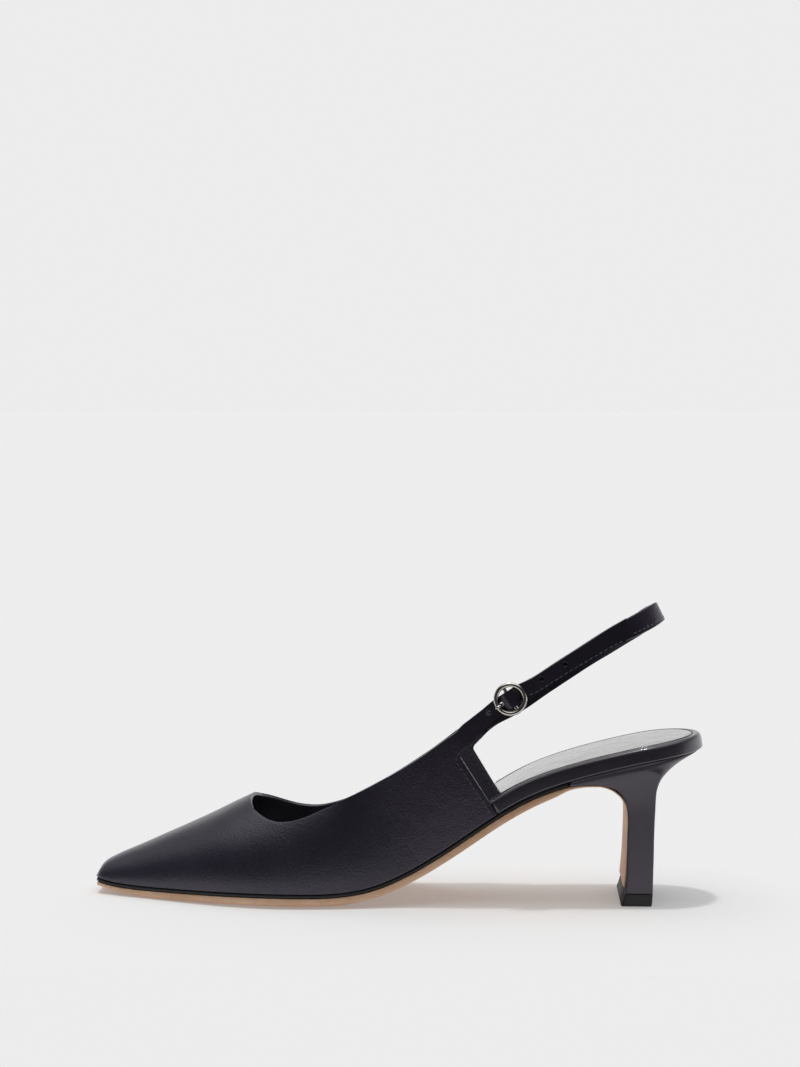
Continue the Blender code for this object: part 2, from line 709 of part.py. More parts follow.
def build_heel():
    base = TOP_PIECE + GAP
    heights = [(max(base, SEAT_HEIGHT * row[1]), max(base, SEAT_HEIGHT * row[3])) for row in HEEL]
    rows = spline([(*height, row[0], row[2], *row[4:]) for height, row in zip(heights, HEEL)], 21)
    loops = []
    for zb, zf, sb, sf, half, share, roundness in rows:
        recess = FLAP_RECESS * min(1.0, max(0.0, (0.75 * SEAT_HEIGHT - zf) / 5.0))
        loops.append(heel_loop((sb, zb), (sf, zf), half, share, roundness, recess))
    loops.append(heel_loop((1.6, 0), (SEAT_FRONT, 0), SEAT_WIDTH / 2 - 0.1, 0.46, 1.0, seat=True))
    new_object("heel", *stack(loops), (0.018, 0.018, 0.02))
    low = [
        (HEEL_BACK + 0.5, HEEL_FRONT - 0.2, 0.0),
        (HEEL_BACK + 0.1, HEEL_FRONT + 0.1, 0.5),
        (HEEL_BACK - 0.1, HEEL_FRONT - 0.8, 3.0),
        (HEEL_BACK - 0.2, HEEL_FRONT - 1.3, TOP_PIECE),
    ]
    loops = []
    for back, front, z in low:
        half = HEEL_WIDTH / 2 - (0.4 if z == 0 else 0)
        loops.append(heel_loop((back, z), (front, z), half, 0.05, 0.15))
    new_object("top_piece", *stack(loops), (0.012, 0.012, 0.012))


def strap_section(centre, along, wide, out, width, thick):
    """Strap section with softened edges, outer face through centre."""
    soft = 0.35
    flat = (
        (-width / 2 + soft, 0.0), (width / 2 - soft, 0.0), (width / 2, -soft), (width / 2, soft - thick),
        (width / 2 - soft, -thick), (-width / 2 + soft, -thick), (-width / 2, soft - thick), (-width / 2, -soft),
    )
    return [centre + wide * w + out * o for w, o in flat]


def build_sling():
    places = [(ORIGIN - s, BALL_WIDTH * y, SEAT_HEIGHT + z, *shape) for s, z, y, *shape in SLING]
    rows = spline(places, 62)
    loops = []
    for k, (x, y, z, lean, width) in enumerate(rows):
        here = Vector((x, y, z))
        ahead = Vector(rows[min(k + 1, len(rows) - 1)][:3])
        back = Vector(rows[max(k - 1, 0)][:3])
        along = (ahead - back).normalized()
        wide = Vector((-lean, 0.0, 1.0)).normalized()
        wide = (wide - along * wide.dot(along)).normalized()
        out = wide.cross(along).normalized()
        if out.dot(Vector((x - (ORIGIN - 60), y, 0.0))) < 0:
            out = -out
        width -= 0.25 * max(0, k - len(rows) + 6)
        loops.append(strap_section(here, along, wide, out, width, STRAP_THICK))
    obj = new_object("sling_strap", *stack(loops), (0.02, 0.02, 0.024))
    bar = bar_centre()
    half = WIDE * 3.4
    cut(obj, cylinder_between(bar - half, bar + half, LOOP_RADIUS, 24, "fold"), "UNION")
    reach = WIDE * 8
    cut(obj, cylinder_between(bar - reach, bar + reach, BAR_RADIUS + 0.2, 24, "bar_bore"))
    slot = bar - ALONG * 1.0 + OUT * 0.6
    cut(obj, box_at(slot, (ALONG, WIDE, OUT), (5.2, 1.9, 4.6), "prong_slot"))
    return obj


def ring_centre():
    return side_point(BUCKLE_AT[0], SEAT_HEIGHT + BUCKLE_AT[1], BUCKLE_ACROSS)


def bar_centre():
    return ring_centre() - OUT * BAR_DEPTH


def build_buckle():
    bpy.ops.mesh.primitive_torus_add(
        major_radius=RING_RADIUS * MM, minor_radius=RING_TUBE * MM, major_segments=40, minor_segments=12,
        location=ring_centre() * MM, rotation=(math.pi / 2, 0, 0),
    )
    ring = bpy.context.object
    ring.name = "buckle_ring"
    for holder in list(ring.users_collection):
        holder.objects.unlink(ring)
    bpy.data.collections["slingback_pump"].objects.link(ring)
    paint(ring, (0.75, 0.75, 0.76), 1.0)
    bar, reach = bar_centre(), WIDE * RING_RADIUS
    cut(ring, cylinder_between(bar - reach * 1.02, bar + reach * 1.02, BAR_RADIUS, 16, "bar"), "UNION")
    for k, side in enumerate((-1, 1)):
        foot = bar + reach * side
        cut(ring, cylinder_between(foot - OUT * 0.6, foot + OUT * BAR_DEPTH, 0.8, 14, f"post_{k}"), "UNION")

    data = bpy.data.curves.new("buckle_prong", "CURVE")
    data.dimensions = "3D"
    data.bevel_depth = PRONG_RADIUS * MM
    data.bevel_resolution = 2
    data.use_fill_caps = True
    data.resolution_u = 3
    round_bar = BAR_RADIUS + PRONG_RADIUS + 0.05
    angles = np.radians(np.linspace(150, -140, 11))
    turn = [(round_bar * math.cos(a), -BAR_DEPTH + round_bar * math.sin(a)) for a in angles]
    pin = [
        (-1.9, -2.3), (-2.7, -2.4), (-3.3, -2.35), (-3.7, -1.85), (-3.85, -1.1), (-4.0, -0.3),
        (-4.35, 0.45), (-4.95, 1.05), (-5.8, 1.5), (-6.5, 1.4), (-6.9, 1.15),
    ]
    path = turn + pin
    line = data.splines.new("NURBS")
    line.points.add(len(path) - 1)
    for k, (t, o) in enumerate(path):
        at = (ring_centre() + ALONG * t + OUT * o) * MM
        line.points[k].co = (*at, 1)
        line.points[k].radius = 1.0 if k < len(path) - 1 else 0.8
    line.order_u = 3
    line.use_endpoint_u = True
    prong = bpy.data.objects.new("buckle_prong", data)
    bpy.data.collections["slingback_pump"].objects.link(prong)
    paint(prong, (0.75, 0.75, 0.76), 1.0)


def main():
    for obj in list(bpy.data.objects):
        bpy.data.objects.remove(obj)
    for name in ("slingback_pump", "cutters"):
        bpy.context.scene.collection.children.link(bpy.data.collections.new(name))
    bpy.data.collections["cutters"].hide_render = True
    build_upper()
    build_bottom()
    build_outsole()
    build_heel()
    build_sling()
    build_buckle()


main()
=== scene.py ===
"""Looks of a slingback pump: calf upper on a slim last, glazed sock, tanned sole, covered heel, ring buckle.

Lengths in the classes are millimetres and become metres where a mesh is made. A station is the distance
forward from the back of the seat, a rise is a height square to the bottom line of the last, and the toe
points to -X.
"""

from __future__ import annotations

import logging
import math
from dataclasses import dataclass
from enum import Enum
from typing import Callable, Iterable, Sequence

import bmesh
import bpy
import numpy as np
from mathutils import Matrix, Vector

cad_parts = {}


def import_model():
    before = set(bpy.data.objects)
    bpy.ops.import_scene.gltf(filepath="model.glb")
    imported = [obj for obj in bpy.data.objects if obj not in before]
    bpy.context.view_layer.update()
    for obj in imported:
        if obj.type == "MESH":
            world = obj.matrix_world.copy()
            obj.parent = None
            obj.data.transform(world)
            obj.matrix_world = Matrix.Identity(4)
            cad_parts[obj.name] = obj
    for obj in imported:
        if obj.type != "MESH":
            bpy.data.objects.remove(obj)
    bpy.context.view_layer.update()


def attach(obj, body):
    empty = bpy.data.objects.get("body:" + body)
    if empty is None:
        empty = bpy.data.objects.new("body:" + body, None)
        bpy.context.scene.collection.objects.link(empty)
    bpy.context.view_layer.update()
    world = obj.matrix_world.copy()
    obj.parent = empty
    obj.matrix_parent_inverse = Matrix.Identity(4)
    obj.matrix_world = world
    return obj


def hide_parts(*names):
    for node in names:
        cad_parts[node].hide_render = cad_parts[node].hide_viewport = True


MM = 0.001
log = logging.getLogger("slingback")

Line = Callable[[float], float]
Sides = Callable[[float], tuple[float, float]]
Ring = Sequence[Vector]
Path = Sequence[tuple[Vector, Vector]]


def linear(code: str) -> tuple[float, float, float, float]:
    """Turns an sRGB hex colour such as "#c8a27c" into linear values with full alpha."""
    parts = [int(code[i : i + 2], 16) / 255 for i in (1, 3, 5)]
    return (*(p / 12.92 if p <= 0.04045 else ((p + 0.055) / 1.055) ** 2.4 for p in parts), 1.0)


def clamp(value: float) -> float:
    """Returns a value held between 0 and 1."""
    return min(1.0, max(0.0, value))


def feed(node: bpy.types.Node, inputs: dict) -> None:
    """Sets a node's inputs, by name or number, to values or to the output sockets that feed them."""
    for key, value in inputs.items():
        if isinstance(value, bpy.types.NodeSocket):
            node.id_data.links.new(value, node.inputs[key])
        else:
            node.inputs[key].default_value = value


def add_node(
    tree: bpy.types.NodeTree, kind: str, inputs: dict | None = None, **settings: object
) -> bpy.types.Node:
    """Adds a node with its settings, its input values and its links.

    Args:
        tree: The node tree it goes into.
        kind: The node's type, such as "ShaderNodeBump".
        inputs: Input name or number to a value, or to the output socket that feeds it.
        **settings: The node's own properties.

    Returns:
        The new node.
    """
    made = tree.nodes.new(kind)
    for key, value in settings.items():
        setattr(made, key, value)
    feed(made, inputs or {})
    return made


def hermite(t: np.ndarray, h: np.ndarray, y: np.ndarray, m: np.ndarray, i: np.ndarray) -> np.ndarray:
    """Cubic through rows of values with given slopes.

    Args:
        t: Share of the step at which each point is read.
        h: Length of that step.
        y: The rows' values.
        m: The rows' slopes.
        i: The row that each point's step starts from.

    Returns:
        The values at the points.
    """
    return (
        (2 * t**3 - 3 * t * t + 1) * y[i]
        + (t**3 - 2 * t * t + t) * h * m[i]
        + (3 * t * t - 2 * t**3) * y[i + 1]
        + (t**3 - t * t) * h * m[i + 1]
    )


def monotone(x: np.ndarray, y: np.ndarray, at: np.ndarray) -> np.ndarray:
    """Curve through points that never overshoots them.

    Args:
        x: Rising places of the points.
        y: Their values.
        at: Places to read the curve at.

    Returns:
        The curve's values at those places.
    """
    h, d = np.diff(x), np.diff(y) / np.diff(x)
    m = np.concatenate(([d[0]], np.zeros(len(x) - 2), [d[-1]]))
    for i in range(1, len(x) - 1):
        if d[i - 1] * d[i] > 0:
            a, b = 2 * h[i] + h[i - 1], h[i] + 2 * h[i - 1]
            m[i] = (a + b) / (a / d[i - 1] + b / d[i])
    i = np.clip(np.searchsorted(x, at, side="right") - 1, 0, len(x) - 2)
    return hermite((at - x[i]) / h[i], h[i], y, m, i)


def fair(rows: Sequence[Sequence[float]], column: int = 1, ease: float = 4.0, hold: float = 20.0) -> Line:
    """Faired line through one column of a table, so that gloss runs over it without a break.

    Args:
        rows: The table; its first column is the station.
        column: The column to follow.
        ease: Width in millimetres over which the line is evened out, or 0.
        hold: Distance from either end within which it is evened out less and less.

    Returns:
        A function from station to value.
    """
    table = np.array(rows, float)
    step = 0.5
    at = np.linspace(table[0, 0], table[-1, 0], max(2, int((table[-1, 0] - table[0, 0]) / step) + 1))
    values = monotone(table[:, 0], table[:, column], at)
    weight = np.clip(np.minimum(at - at[0], at[-1] - at) / hold, 0, 1) ** 2 * 0.5
    for _ in range(int(2 * (ease / step) ** 2)):
        middle = (values[:-2] + values[2:]) / 2
        values[1:-1] += weight[1:-1] * (middle - values[1:-1])
    return lambda s: float(np.interp(s, at, values))


def spline(rows: Sequence[Sequence[float]], count: int) -> np.ndarray:
    """Returns evenly spaced points on a smooth curve; the first three columns of the rows are its places."""
    table = np.array(rows, float)
    chord = np.concatenate(([0], np.cumsum(np.linalg.norm(np.diff(table[:, :3], axis=0), axis=1))))
    at = np.linspace(0, chord[-1], count)
    i = np.clip(np.searchsorted(chord, at, side="right") - 1, 0, len(table) - 2)
    h = (chord[i + 1] - chord[i])[:, None]
    return hermite((at - chord[i])[:, None] / h, h, table, np.gradient(table, chord, axis=0), i)


def make_piece(bm: bmesh.types.BMesh, name: str, materials: Sequence[bpy.types.Material]) -> bpy.types.Object:
    """Makes an object of a finished bmesh, smooth shaded, with its place in its mesh.

    Args:
        bm: The bmesh in metres, which is freed.
        name: The object's name.
        materials: Its materials in slot order.

    Returns:
        The new object, linked to the scene.
    """
    mesh = bpy.data.meshes.new(name)
    for face in bm.faces:
        face.smooth = True
    bm.to_mesh(mesh)
    bm.free()
    obj = bpy.data.objects.new(name, mesh)
    bpy.context.scene.collection.objects.link(obj)
    for material in materials:
        mesh.materials.append(material)
    return obj


def extrude(
    bm: bmesh.types.BMesh, edges: list[bmesh.types.BMEdge], front: list[bmesh.types.BMVert], ring: Ring
) -> tuple[list[bmesh.types.BMEdge], list[bmesh.types.BMVert]]:
    """Extrudes a row of edges to the next ring.

    Args:
        bm: The bmesh that they are in.
        edges: The edges.
        front: Their points in order.
        ring: Where the new points go, in millimetres.

    Returns:
        The new edges, and the new points in order.
    """
    made = bmesh.ops.extrude_edge_only(bm, edges=edges)["geom"]
    new = {g for g in made if isinstance(g, bmesh.types.BMVert)}
    front = [next(v for v in (e.other_vert(old) for e in old.link_edges) if v in new) for old in front]
    for vert, at in zip(front, ring):
        vert.co = at * MM
    return [g for g in made if isinstance(g, bmesh.types.BMEdge)], front


def loft(rings: Sequence[Ring], fill: tuple[bool, bool] = (True, True)) -> bmesh.types.BMesh:
    """Closed skin that starts as one circle of points and is extruded from ring to ring.

    Args:
        rings: Rings of equally many points in millimetres, in order.
        fill: Whether the first and the last ring are filled with a flat face.

    Returns:
        The bmesh in metres, its doubles merged and its faces outwards.
    """
    bm = bmesh.new()
    front = list(bmesh.ops.create_circle(bm, segments=len(rings[0]), radius=1.0)["verts"])
    edges = bm.edges[:]
    if fill[0]:
        bmesh.ops.contextual_create(bm, geom=edges)
    for vert, at in zip(front, rings[0]):
        vert.co = at * MM
    for ring in rings[1:]:
        edges, front = extrude(bm, edges, front, ring)
    if fill[1]:
        bmesh.ops.contextual_create(bm, geom=edges)
    bmesh.ops.remove_doubles(bm, verts=bm.verts[:], dist=2e-6)
    bmesh.ops.dissolve_degenerate(bm, dist=1e-7, edges=bm.edges[:])
    bmesh.ops.recalc_face_normals(bm, faces=bm.faces[:])
    return bm


def cylinder(
    bm: bmesh.types.BMesh, start: Vector, end: Vector, radius: float, segments: int
) -> list[bmesh.types.BMVert]:
    """Adds a cylinder between two points.

    Args:
        bm: The bmesh that it goes into.
        start: One end in millimetres.
        end: The other end.
        radius: Its radius.
        segments: How many sides it has.

    Returns:
        Its points.
    """
    radius, depth = radius * MM, (end - start).length * MM
    made = bmesh.ops.create_cone(
        bm, cap_ends=True, segments=segments, radius1=radius, radius2=radius, depth=depth
    )["verts"]
    stand(bm, made, end - start, (start + end) / 2)
    return made


def stand(bm: bmesh.types.BMesh, verts: Iterable[bmesh.types.BMVert], axis: Vector, at: Vector) -> None:
    """Turns points so that their Z lies along an axis, then moves them to a place in millimetres."""
    verts = list(verts)
    bmesh.ops.rotate(bm, verts=verts, matrix=axis.to_track_quat("Z", "Y").to_matrix(), cent=(0, 0, 0))
    bmesh.ops.translate(bm, verts=verts, vec=at * MM)


def bake_modifiers(obj: bpy.types.Object) -> None:
    """Puts an object's modifiers into its mesh."""
    graph = bpy.context.evaluated_depsgraph_get()
    mesh = bpy.data.meshes.new_from_object(obj.evaluated_get(graph))
    old = obj.data
    obj.modifiers.clear()
    obj.data = mesh
    bpy.data.meshes.remove(old)


class Side(Enum):
    """The two sides of a left shoe."""

    LATERAL = 0
    MEDIAL = 1

    @property
    def sign(self) -> int:
        """Returns -1 for the lateral side, which faces -Y, and 1 for the medial one."""
        return 2 * self.value - 1

    def angle(self, phi: float) -> float:
        """Returns the last's angle that is as far up this side as phi is up the lateral one."""
        return phi if self is Side.LATERAL else 180 - phi


# Finishes


def new_material(name: str) -> tuple[bpy.types.Material, bpy.types.NodeTree, bpy.types.Node]:
    """Returns a new material, its node tree and its shader."""
    material = bpy.data.materials.new(name)
    material.use_nodes = True
    return material, material.node_tree, material.node_tree.nodes["Principled BSDF"]


def object_space(tree: bpy.types.NodeTree) -> bpy.types.NodeSocket:
    """Returns the object's own coordinates, in metres."""
    return add_node(tree, "ShaderNodeTexCoord").outputs["Object"]


def noise(
    tree: bpy.types.NodeTree, where: bpy.types.NodeSocket, scale: float, detail: float, **more: float
) -> bpy.types.NodeSocket:
    """Returns a noise's value; its scale is in grains a metre."""
    inputs = {"Vector": where, "Scale": scale, "Detail": detail, **more}
    return add_node(tree, "ShaderNodeTexNoise", inputs).outputs["Fac"]


def bump(
    tree: bpy.types.NodeTree, height: bpy.types.NodeSocket, strength: float, depth: float, **more: object
) -> bpy.types.NodeSocket:
    """Returns the normal over a relief with a strength and a depth in metres."""
    inputs = {"Strength": strength, "Distance": depth, "Height": height, **more}
    return add_node(tree, "ShaderNodeBump", inputs).outputs["Normal"]


def stretched(
    tree: bpy.types.NodeTree, where: bpy.types.NodeSocket, scale: tuple[float, float, float]
) -> bpy.types.NodeSocket:
    """Returns coordinates scaled on each axis; a scale under 1 draws the pattern out."""
    return add_node(tree, "ShaderNodeMapping", {"Vector": where, "Scale": scale}).outputs[0]


def combine(tree: bpy.types.NodeTree, operation: str, *values: object) -> bpy.types.NodeSocket:
    """Returns the result of one sum on values or sockets, such as "ADD"."""
    return add_node(tree, "ShaderNodeMath", dict(enumerate(values)), operation=operation).outputs[0]


def blend(
    tree: bpy.types.NodeTree, share: bpy.types.NodeSocket, first: str, second: str
) -> bpy.types.NodeSocket:
    """Returns a colour between two hex colours."""
    inputs = {0: share, 6: linear(first), 7: linear(second)}
    return add_node(tree, "ShaderNodeMix", inputs, data_type="RGBA").outputs[2]


def spread(
    tree: bpy.types.NodeTree, value: bpy.types.NodeSocket, span: dict[str, float], **settings: object
) -> bpy.types.NodeSocket:
    """Returns a value moved to another range, whose ends are given by the node's own input names."""
    return add_node(tree, "ShaderNodeMapRange", {"Value": value, **span}, **settings).outputs[0]


@dataclass(frozen=True)
class CalfLeather:
    """Smooth aniline-look calf: near black, with a soft wax sheen and a fine pore grain."""

    name: str = "calf_leather_black"
    colour: str = "#211f29"
    worn: str = "#2e2b37"
    roughness: float = 0.30
    pore: float = 0.55  # mm; real pores are finer, drawn this coarse so that they show
    relief: float = 0.5
    coat: float = 0.1
    coat_roughness: float = 0.22
    tint: str = "#e9e2f2"

    def build(self) -> bpy.types.Material:
        """Returns the material: pore bump, a slow drift of tone and patches that are a little glossier."""
        material, tree, shader = new_material(self.name)
        where = object_space(tree)
        drift = noise(tree, where, 45.0, 3.0)
        density = 1 / (self.pore * MM)
        cells = {"Vector": where, "Scale": density, "Randomness": 1.0}
        pores = add_node(tree, "ShaderNodeTexVoronoi", cells, feature="SMOOTH_F1").outputs["Distance"]
        height = combine(tree, "ADD", pores, noise(tree, where, density / 1.6, 4.0))
        wave = bump(tree, noise(tree, where, 130.0, 2.0), 0.25, 0.0006)
        span = {"To Min": self.roughness - 0.05, "To Max": self.roughness + 0.06}
        feed(shader, {
            "Base Color": blend(tree, drift, self.colour, self.worn),
            "Normal": bump(tree, height, self.relief, 0.00014, Normal=wave),
            "Roughness": spread(tree, drift, span),
            "Specular IOR Level": 0.8,
            "Specular Tint": linear(self.tint),
            "Coat Weight": self.coat,
            "Coat Roughness": self.coat_roughness,
        })
        return material


@dataclass(frozen=True)
class GlazedSock:
    """Glazed sock leather: black with a high shine and the faint ripples of a thin skin pasted over foam."""

    name: str = "sock_leather_glazed"
    colour: str = "#17161b"

    def build(self) -> bpy.types.Material:
        """Returns the material: a hard clear glaze over rippled black leather."""
        material, tree, shader = new_material(self.name)
        where = object_space(tree)
        streak = noise(tree, stretched(tree, where, (0.16, 1.0, 1.0)), 270.0, 3.0, Distortion=0.5)
        height = combine(tree, "MULTIPLY_ADD", streak, 0.6, noise(tree, where, 110.0, 2.0))
        feed(shader, {
            "Base Color": linear(self.colour),
            "Normal": bump(tree, height, 0.8, 0.0009),
            "Roughness": 0.16,
            "Coat Weight": 1.0,
            "Coat Roughness": 0.06,
        })
        return material


@dataclass(frozen=True)
class TannedSole:
    """Vegetable-tanned sole leather: natural tan, fibrous edge, waxed smooth."""

    name: str = "sole_leather_natural"
    colour: str = "#e6c2a4"
    fibre: str = "#cc9f7b"

    def build(self) -> bpy.types.Material:
        """Returns the material: long fibre streaks along the sole and fine specks."""
        material, tree, shader = new_material(self.name)
        where = object_space(tree)
        streak = noise(tree, stretched(tree, where, (0.25, 1.0, 2.2)), 900.0, 5.0, Roughness=0.6)
        mixed = combine(tree, "MULTIPLY_ADD", streak, 0.55, noise(tree, where, 60.0, 3.0))
        share = spread(tree, mixed, {"From Min": 0.5, "From Max": 1.05})
        feed(shader, {
            "Base Color": blend(tree, share, self.fibre, self.colour),
            "Normal": bump(tree, streak, 0.25, 0.0001),
            "Roughness": 0.55,
        })
        return material


@dataclass(frozen=True)
class EdgeInk:
    """Acrylic edge ink on the midsole: flat black with a low gloss."""

    name: str = "edge_ink_black"
    colour: str = "#0c0b0f"
    roughness: float = 0.45

    def build(self) -> bpy.types.Material:
        """Returns the material, brushed on along the edge."""
        material, tree, shader = new_material(self.name)
        brush = noise(tree, object_space(tree), 700.0, 3.0)
        feed(shader, {
            "Base Color": linear(self.colour),
            "Normal": bump(tree, brush, 0.3, 0.00008),
            "Roughness": self.roughness,
        })
        return material


@dataclass(frozen=True)
class Nickel:
    """Polished nickel plate on a die-cast buckle: bright, warm grey, nearly a mirror."""

    name: str = "nickel_plate_polished"
    colour: str = "#d9d5cf"

    def build(self) -> bpy.types.Material:
        """Returns the material, with faint polishing marks in its roughness."""
        material, tree, shader = new_material(self.name)
        marks = noise(tree, object_space(tree), 1500.0, 2.0)
        feed(shader, {
            "Base Color": linear(self.colour),
            "Metallic": 1.0,
            "Roughness": spread(tree, marks, {"To Min": 0.08, "To Max": 0.2}),
        })
        return material


@dataclass(frozen=True)
class Thread:
    """Bonded polyester thread, black, twisted, with a slight shine; its base is painted grey, a painted sheen
    for the glints of that shine.
    """

    name: str = "bonded_thread_painted_sheen"
    # grey base on black thread: painted sheen that stands in for the thread's glints
    colour: str = "#57555e"

    def build(self) -> bpy.types.Material:
        """Returns the material, with a fine twist in its bump."""
        material, tree, shader = new_material(self.name)
        twist = add_node(tree, "ShaderNodeTexWave", {"Vector": object_space(tree), "Scale": 900.0})
        feed(shader, {
            "Base Color": linear(self.colour),
            "Normal": bump(tree, twist.outputs["Fac"], 0.4, 0.00005),
            "Roughness": 0.3,
            "Specular IOR Level": 0.8,
        })
        return material


@dataclass(frozen=True)
class ShootingTable:
    """Matt shooting table that glows a little on its own: painted fill light, which keeps the shadows on it
    pale.
    """

    name: str = "studio_table_glowing"
    colour: str = "#dbdbdb"
    glow: float = 0.2

    def build(self) -> bpy.types.Material:
        """Returns the material: an even grey without shine that gives off a little light."""
        material, _, shader = new_material(self.name)
        feed(shader, {
            "Base Color": linear(self.colour),
            "Roughness": 1.0,
            "Specular IOR Level": 0.0,
            # the glow is painted fill light that lifts the shadows on the table
            "Emission Color": linear("#ffffff"),
            "Emission Strength": self.glow,
        })
        return material


@dataclass
class Finishes:
    """The finishes that the parts share, each made once."""

    calf: bpy.types.Material
    lining: bpy.types.Material
    cover: bpy.types.Material
    rim: bpy.types.Material
    sock: bpy.types.Material
    sole: bpy.types.Material
    ink: bpy.types.Material
    lift: bpy.types.Material
    nickel: bpy.types.Material
    thread: bpy.types.Material

    @classmethod
    def make(cls) -> "Finishes":
        """Returns every finish of the shoe."""
        return cls(
            calf=CalfLeather().build(),
            # black lining painted far lighter than the calf: painted fill light for the inside of the upper,
            # which the lamps barely reach
            lining=CalfLeather(
                "lining_leather_painted_fill", "#48454e", "#514e58",
                roughness=0.42, pore=0.8, relief=0.5, coat=0.1,
            ).build(),
            cover=CalfLeather(
                "heel_cover_leather_black", "#433f47", "#4b464f",
                roughness=0.42, pore=0.7, relief=0.25, coat=0.12,
            ).build(),
            rim=CalfLeather(
                "rim_leather_black", "#29262c", "#322f36",
                roughness=0.36, pore=0.7, relief=0.25, coat=0.7, coat_roughness=0.1,
            ).build(),
            sock=GlazedSock().build(),
            sole=TannedSole().build(),
            ink=EdgeInk().build(),
            lift=EdgeInk("top_piece_rubber_black", "#2d2b2f", roughness=0.6).build(),
            nickel=Nickel().build(),
            thread=Thread().build(),
        )


# The last and the pieces built on it


@dataclass
class Last:
    """The form that the shoe is made on, from measured tables, and the sizes that its pieces share.

    A row of each table starts with its station. Then comes the height of the bottom line, or the lateral and
    the medial half width of the feather, or the ridge's place, rise and squareness, or each side's lean.
    """

    origin: float = 28.0
    length: float = 250.0
    wall: float = 1.4
    wing_ends: tuple = (84.0, 82.7)
    tuck: float = 2.4
    tuck_reach: float = 30.0
    seat_width: float = 51.0
    seat_round: float = 26.0
    seat_back: float = 0.5
    wing_rise: float = 37.4
    bottom_rows: tuple = (
        (0, 62.6), (20, 59.7), (40, 55.3), (55, 51.2), (70, 45.7), (85, 37.2), (100, 26.8), (115, 17.2),
        (125, 12.0), (135, 8.3), (145, 6.6), (155, 6.1), (180, 6.2), (195, 5.9), (210, 5.5), (230, 5.1),
        (240, 5.4), (247, 6.3), (251, 7.2),
    )
    outline_rows: tuple = (
        (26, 25.5, 25.4), (40, 25.8, 25.1), (55, 25.6, 24.0), (70, 25.1, 22.0), (85, 24.9, 20.8),
        (100, 25.0, 21.3), (115, 25.9, 24.0), (130, 28.0, 28.8), (145, 30.6, 34.6), (158, 32.0, 38.4),
        (170, 32.3, 40.2), (180, 31.3, 39.9), (190, 28.9, 38.3), (200, 25.5, 35.8), (210, 21.2, 32.6),
        (220, 16.8, 28.7), (230, 12.3, 24.4), (240, 7.7, 20.0), (245.4, 4.9, 17.3), (248, 3.3, 15.7),
        (249.1, 1.9, 14.2), (249.6, -0.4, 11.8),
    )
    ridge_rows: tuple = (
        (82, 0, 83.5, 0.08), (100, 0, 76, 0.12), (113, 0.5, 70, 0.3), (130, 1.3, 62, 0.65), (150, 2.2, 53, 1),
        (165, 3, 45.4, 1), (175, 3.6, 39.8, 1), (184.5, 4.2, 34.6, 1), (188.8, 4.5, 32.8, 0.98),
        (198.8, 5.2, 27.8, 0.95), (208.8, 5.7, 23.4, 0.93), (218.9, 6.0, 19.2, 0.91), (228.9, 6.1, 15.1, 0.9),
        (233.9, 6.1, 12.9, 0.9), (238.9, 6.1, 10.9, 0.88), (243.5, 6.0, 8.6, 0.86), (246.7, 5.9, 6.5, 0.84),
        (248.3, 5.8, 4.9, 0.82), (249.2, 5.7, 3.2, 0.8), (249.6, 5.6, 0.02, 0.8),
    )
    lean_rows: tuple = ((82, 1.9, 4.2), (100, 1.4, 3.4), (117.5, 0.6, 1.6), (140, 0, 0), (250, 0, 0))

    def __post_init__(self) -> None:
        """Fairs the tables."""
        self.bottom = fair(self.bottom_rows, ease=5.0)
        self.half = (fair(self.outline_rows, 1), fair(self.outline_rows, 2))
        self.ridge_across = fair(self.ridge_rows, 1)
        self.ridge_rise = fair(self.ridge_rows, 2)
        self.square = fair(self.ridge_rows, 3)
        self.lean = (fair(self.lean_rows, 1), fair(self.lean_rows, 2))

    def place(self, s: float, rise: float, across: float) -> Vector:
        """Returns the point at a station, a rise above the bottom line and a distance across."""
        m = self.bottom(s + 0.5) - self.bottom(s - 0.5)
        r = math.hypot(1, m)
        return Vector((self.origin - (s - m / r * rise), across, self.bottom(s) + rise / r))

    def side(self, s: float, height: float, across: float) -> Vector:
        """Returns the point at a station, a height above the ground and a distance across."""
        return Vector((self.origin - s, across, height))

    def widths(self, s: float, inset: float = 0.0) -> tuple[float, float]:
        """Lateral and medial half widths of the feather; the back of the seat is an ellipse."""
        if s >= self.seat_round:
            return self.half[0](s) - inset, self.half[1](s) - inset
        k = math.sqrt(max(0.0, 1 - ((self.seat_round - s) / (self.seat_round - self.seat_back - inset)) ** 2))
        return (self.seat_width / 2 - inset) * k, (self.seat_width / 2 - inset) * k

    def seat_stations(self, first: float, count: int) -> list[float]:
        """Returns stations round the back of the seat, closer together where the outline turns across."""
        span = self.seat_round - 0.05 - first
        return [first + span * (1 - math.cos(math.pi / 2 * k / count)) for k in range(count)]

    def point(self, s: float, phi: float) -> Vector:
        """Returns a surface point; phi is 0 at the lateral feather, 90 on the ridge, 180 at the other."""
        lateral, medial = self.widths(s)
        ridge = self.ridge_across(s)
        up = math.sin(math.radians(phi))
        rise = self.ridge_rise(s) * up
        near = phi < 90
        reach = (lateral + ridge) if near else (medial - ridge)
        c = abs(math.cos(math.radians(phi)))
        tuck = self.tuck * c * up * min(1.0, reach / self.tuck_reach)
        lean = self.lean[0 if near else 1](s) * rise / self.wing_rise
        out = reach * c ** self.square(s) + tuck + lean
        return self.place(s, rise, ridge - out if near else ridge + out)

    def phi_at(self, s: float, rise: float) -> float:
        """Returns the angle at which the surface reaches a rise."""
        return math.degrees(math.asin(min(1.0, rise / self.ridge_rise(s))))

    def across(self, s: float, rise: float, side: Side) -> float:
        """Returns how far across the surface stands at a rise."""
        return self.point(s, side.angle(self.phi_at(s, rise))).y

    def normal(self, s: float, phi: float, side: Side) -> Vector:
        """Returns the direction outwards from the surface on one side."""
        along = self.point(s + 0.5, phi) - self.point(s - 0.5, phi)
        up = self.point(s, phi + 1.5) - self.point(s, phi - 1.5)
        found = along.cross(up).normalized()
        return found if found.y * side.sign >= 0 else -found

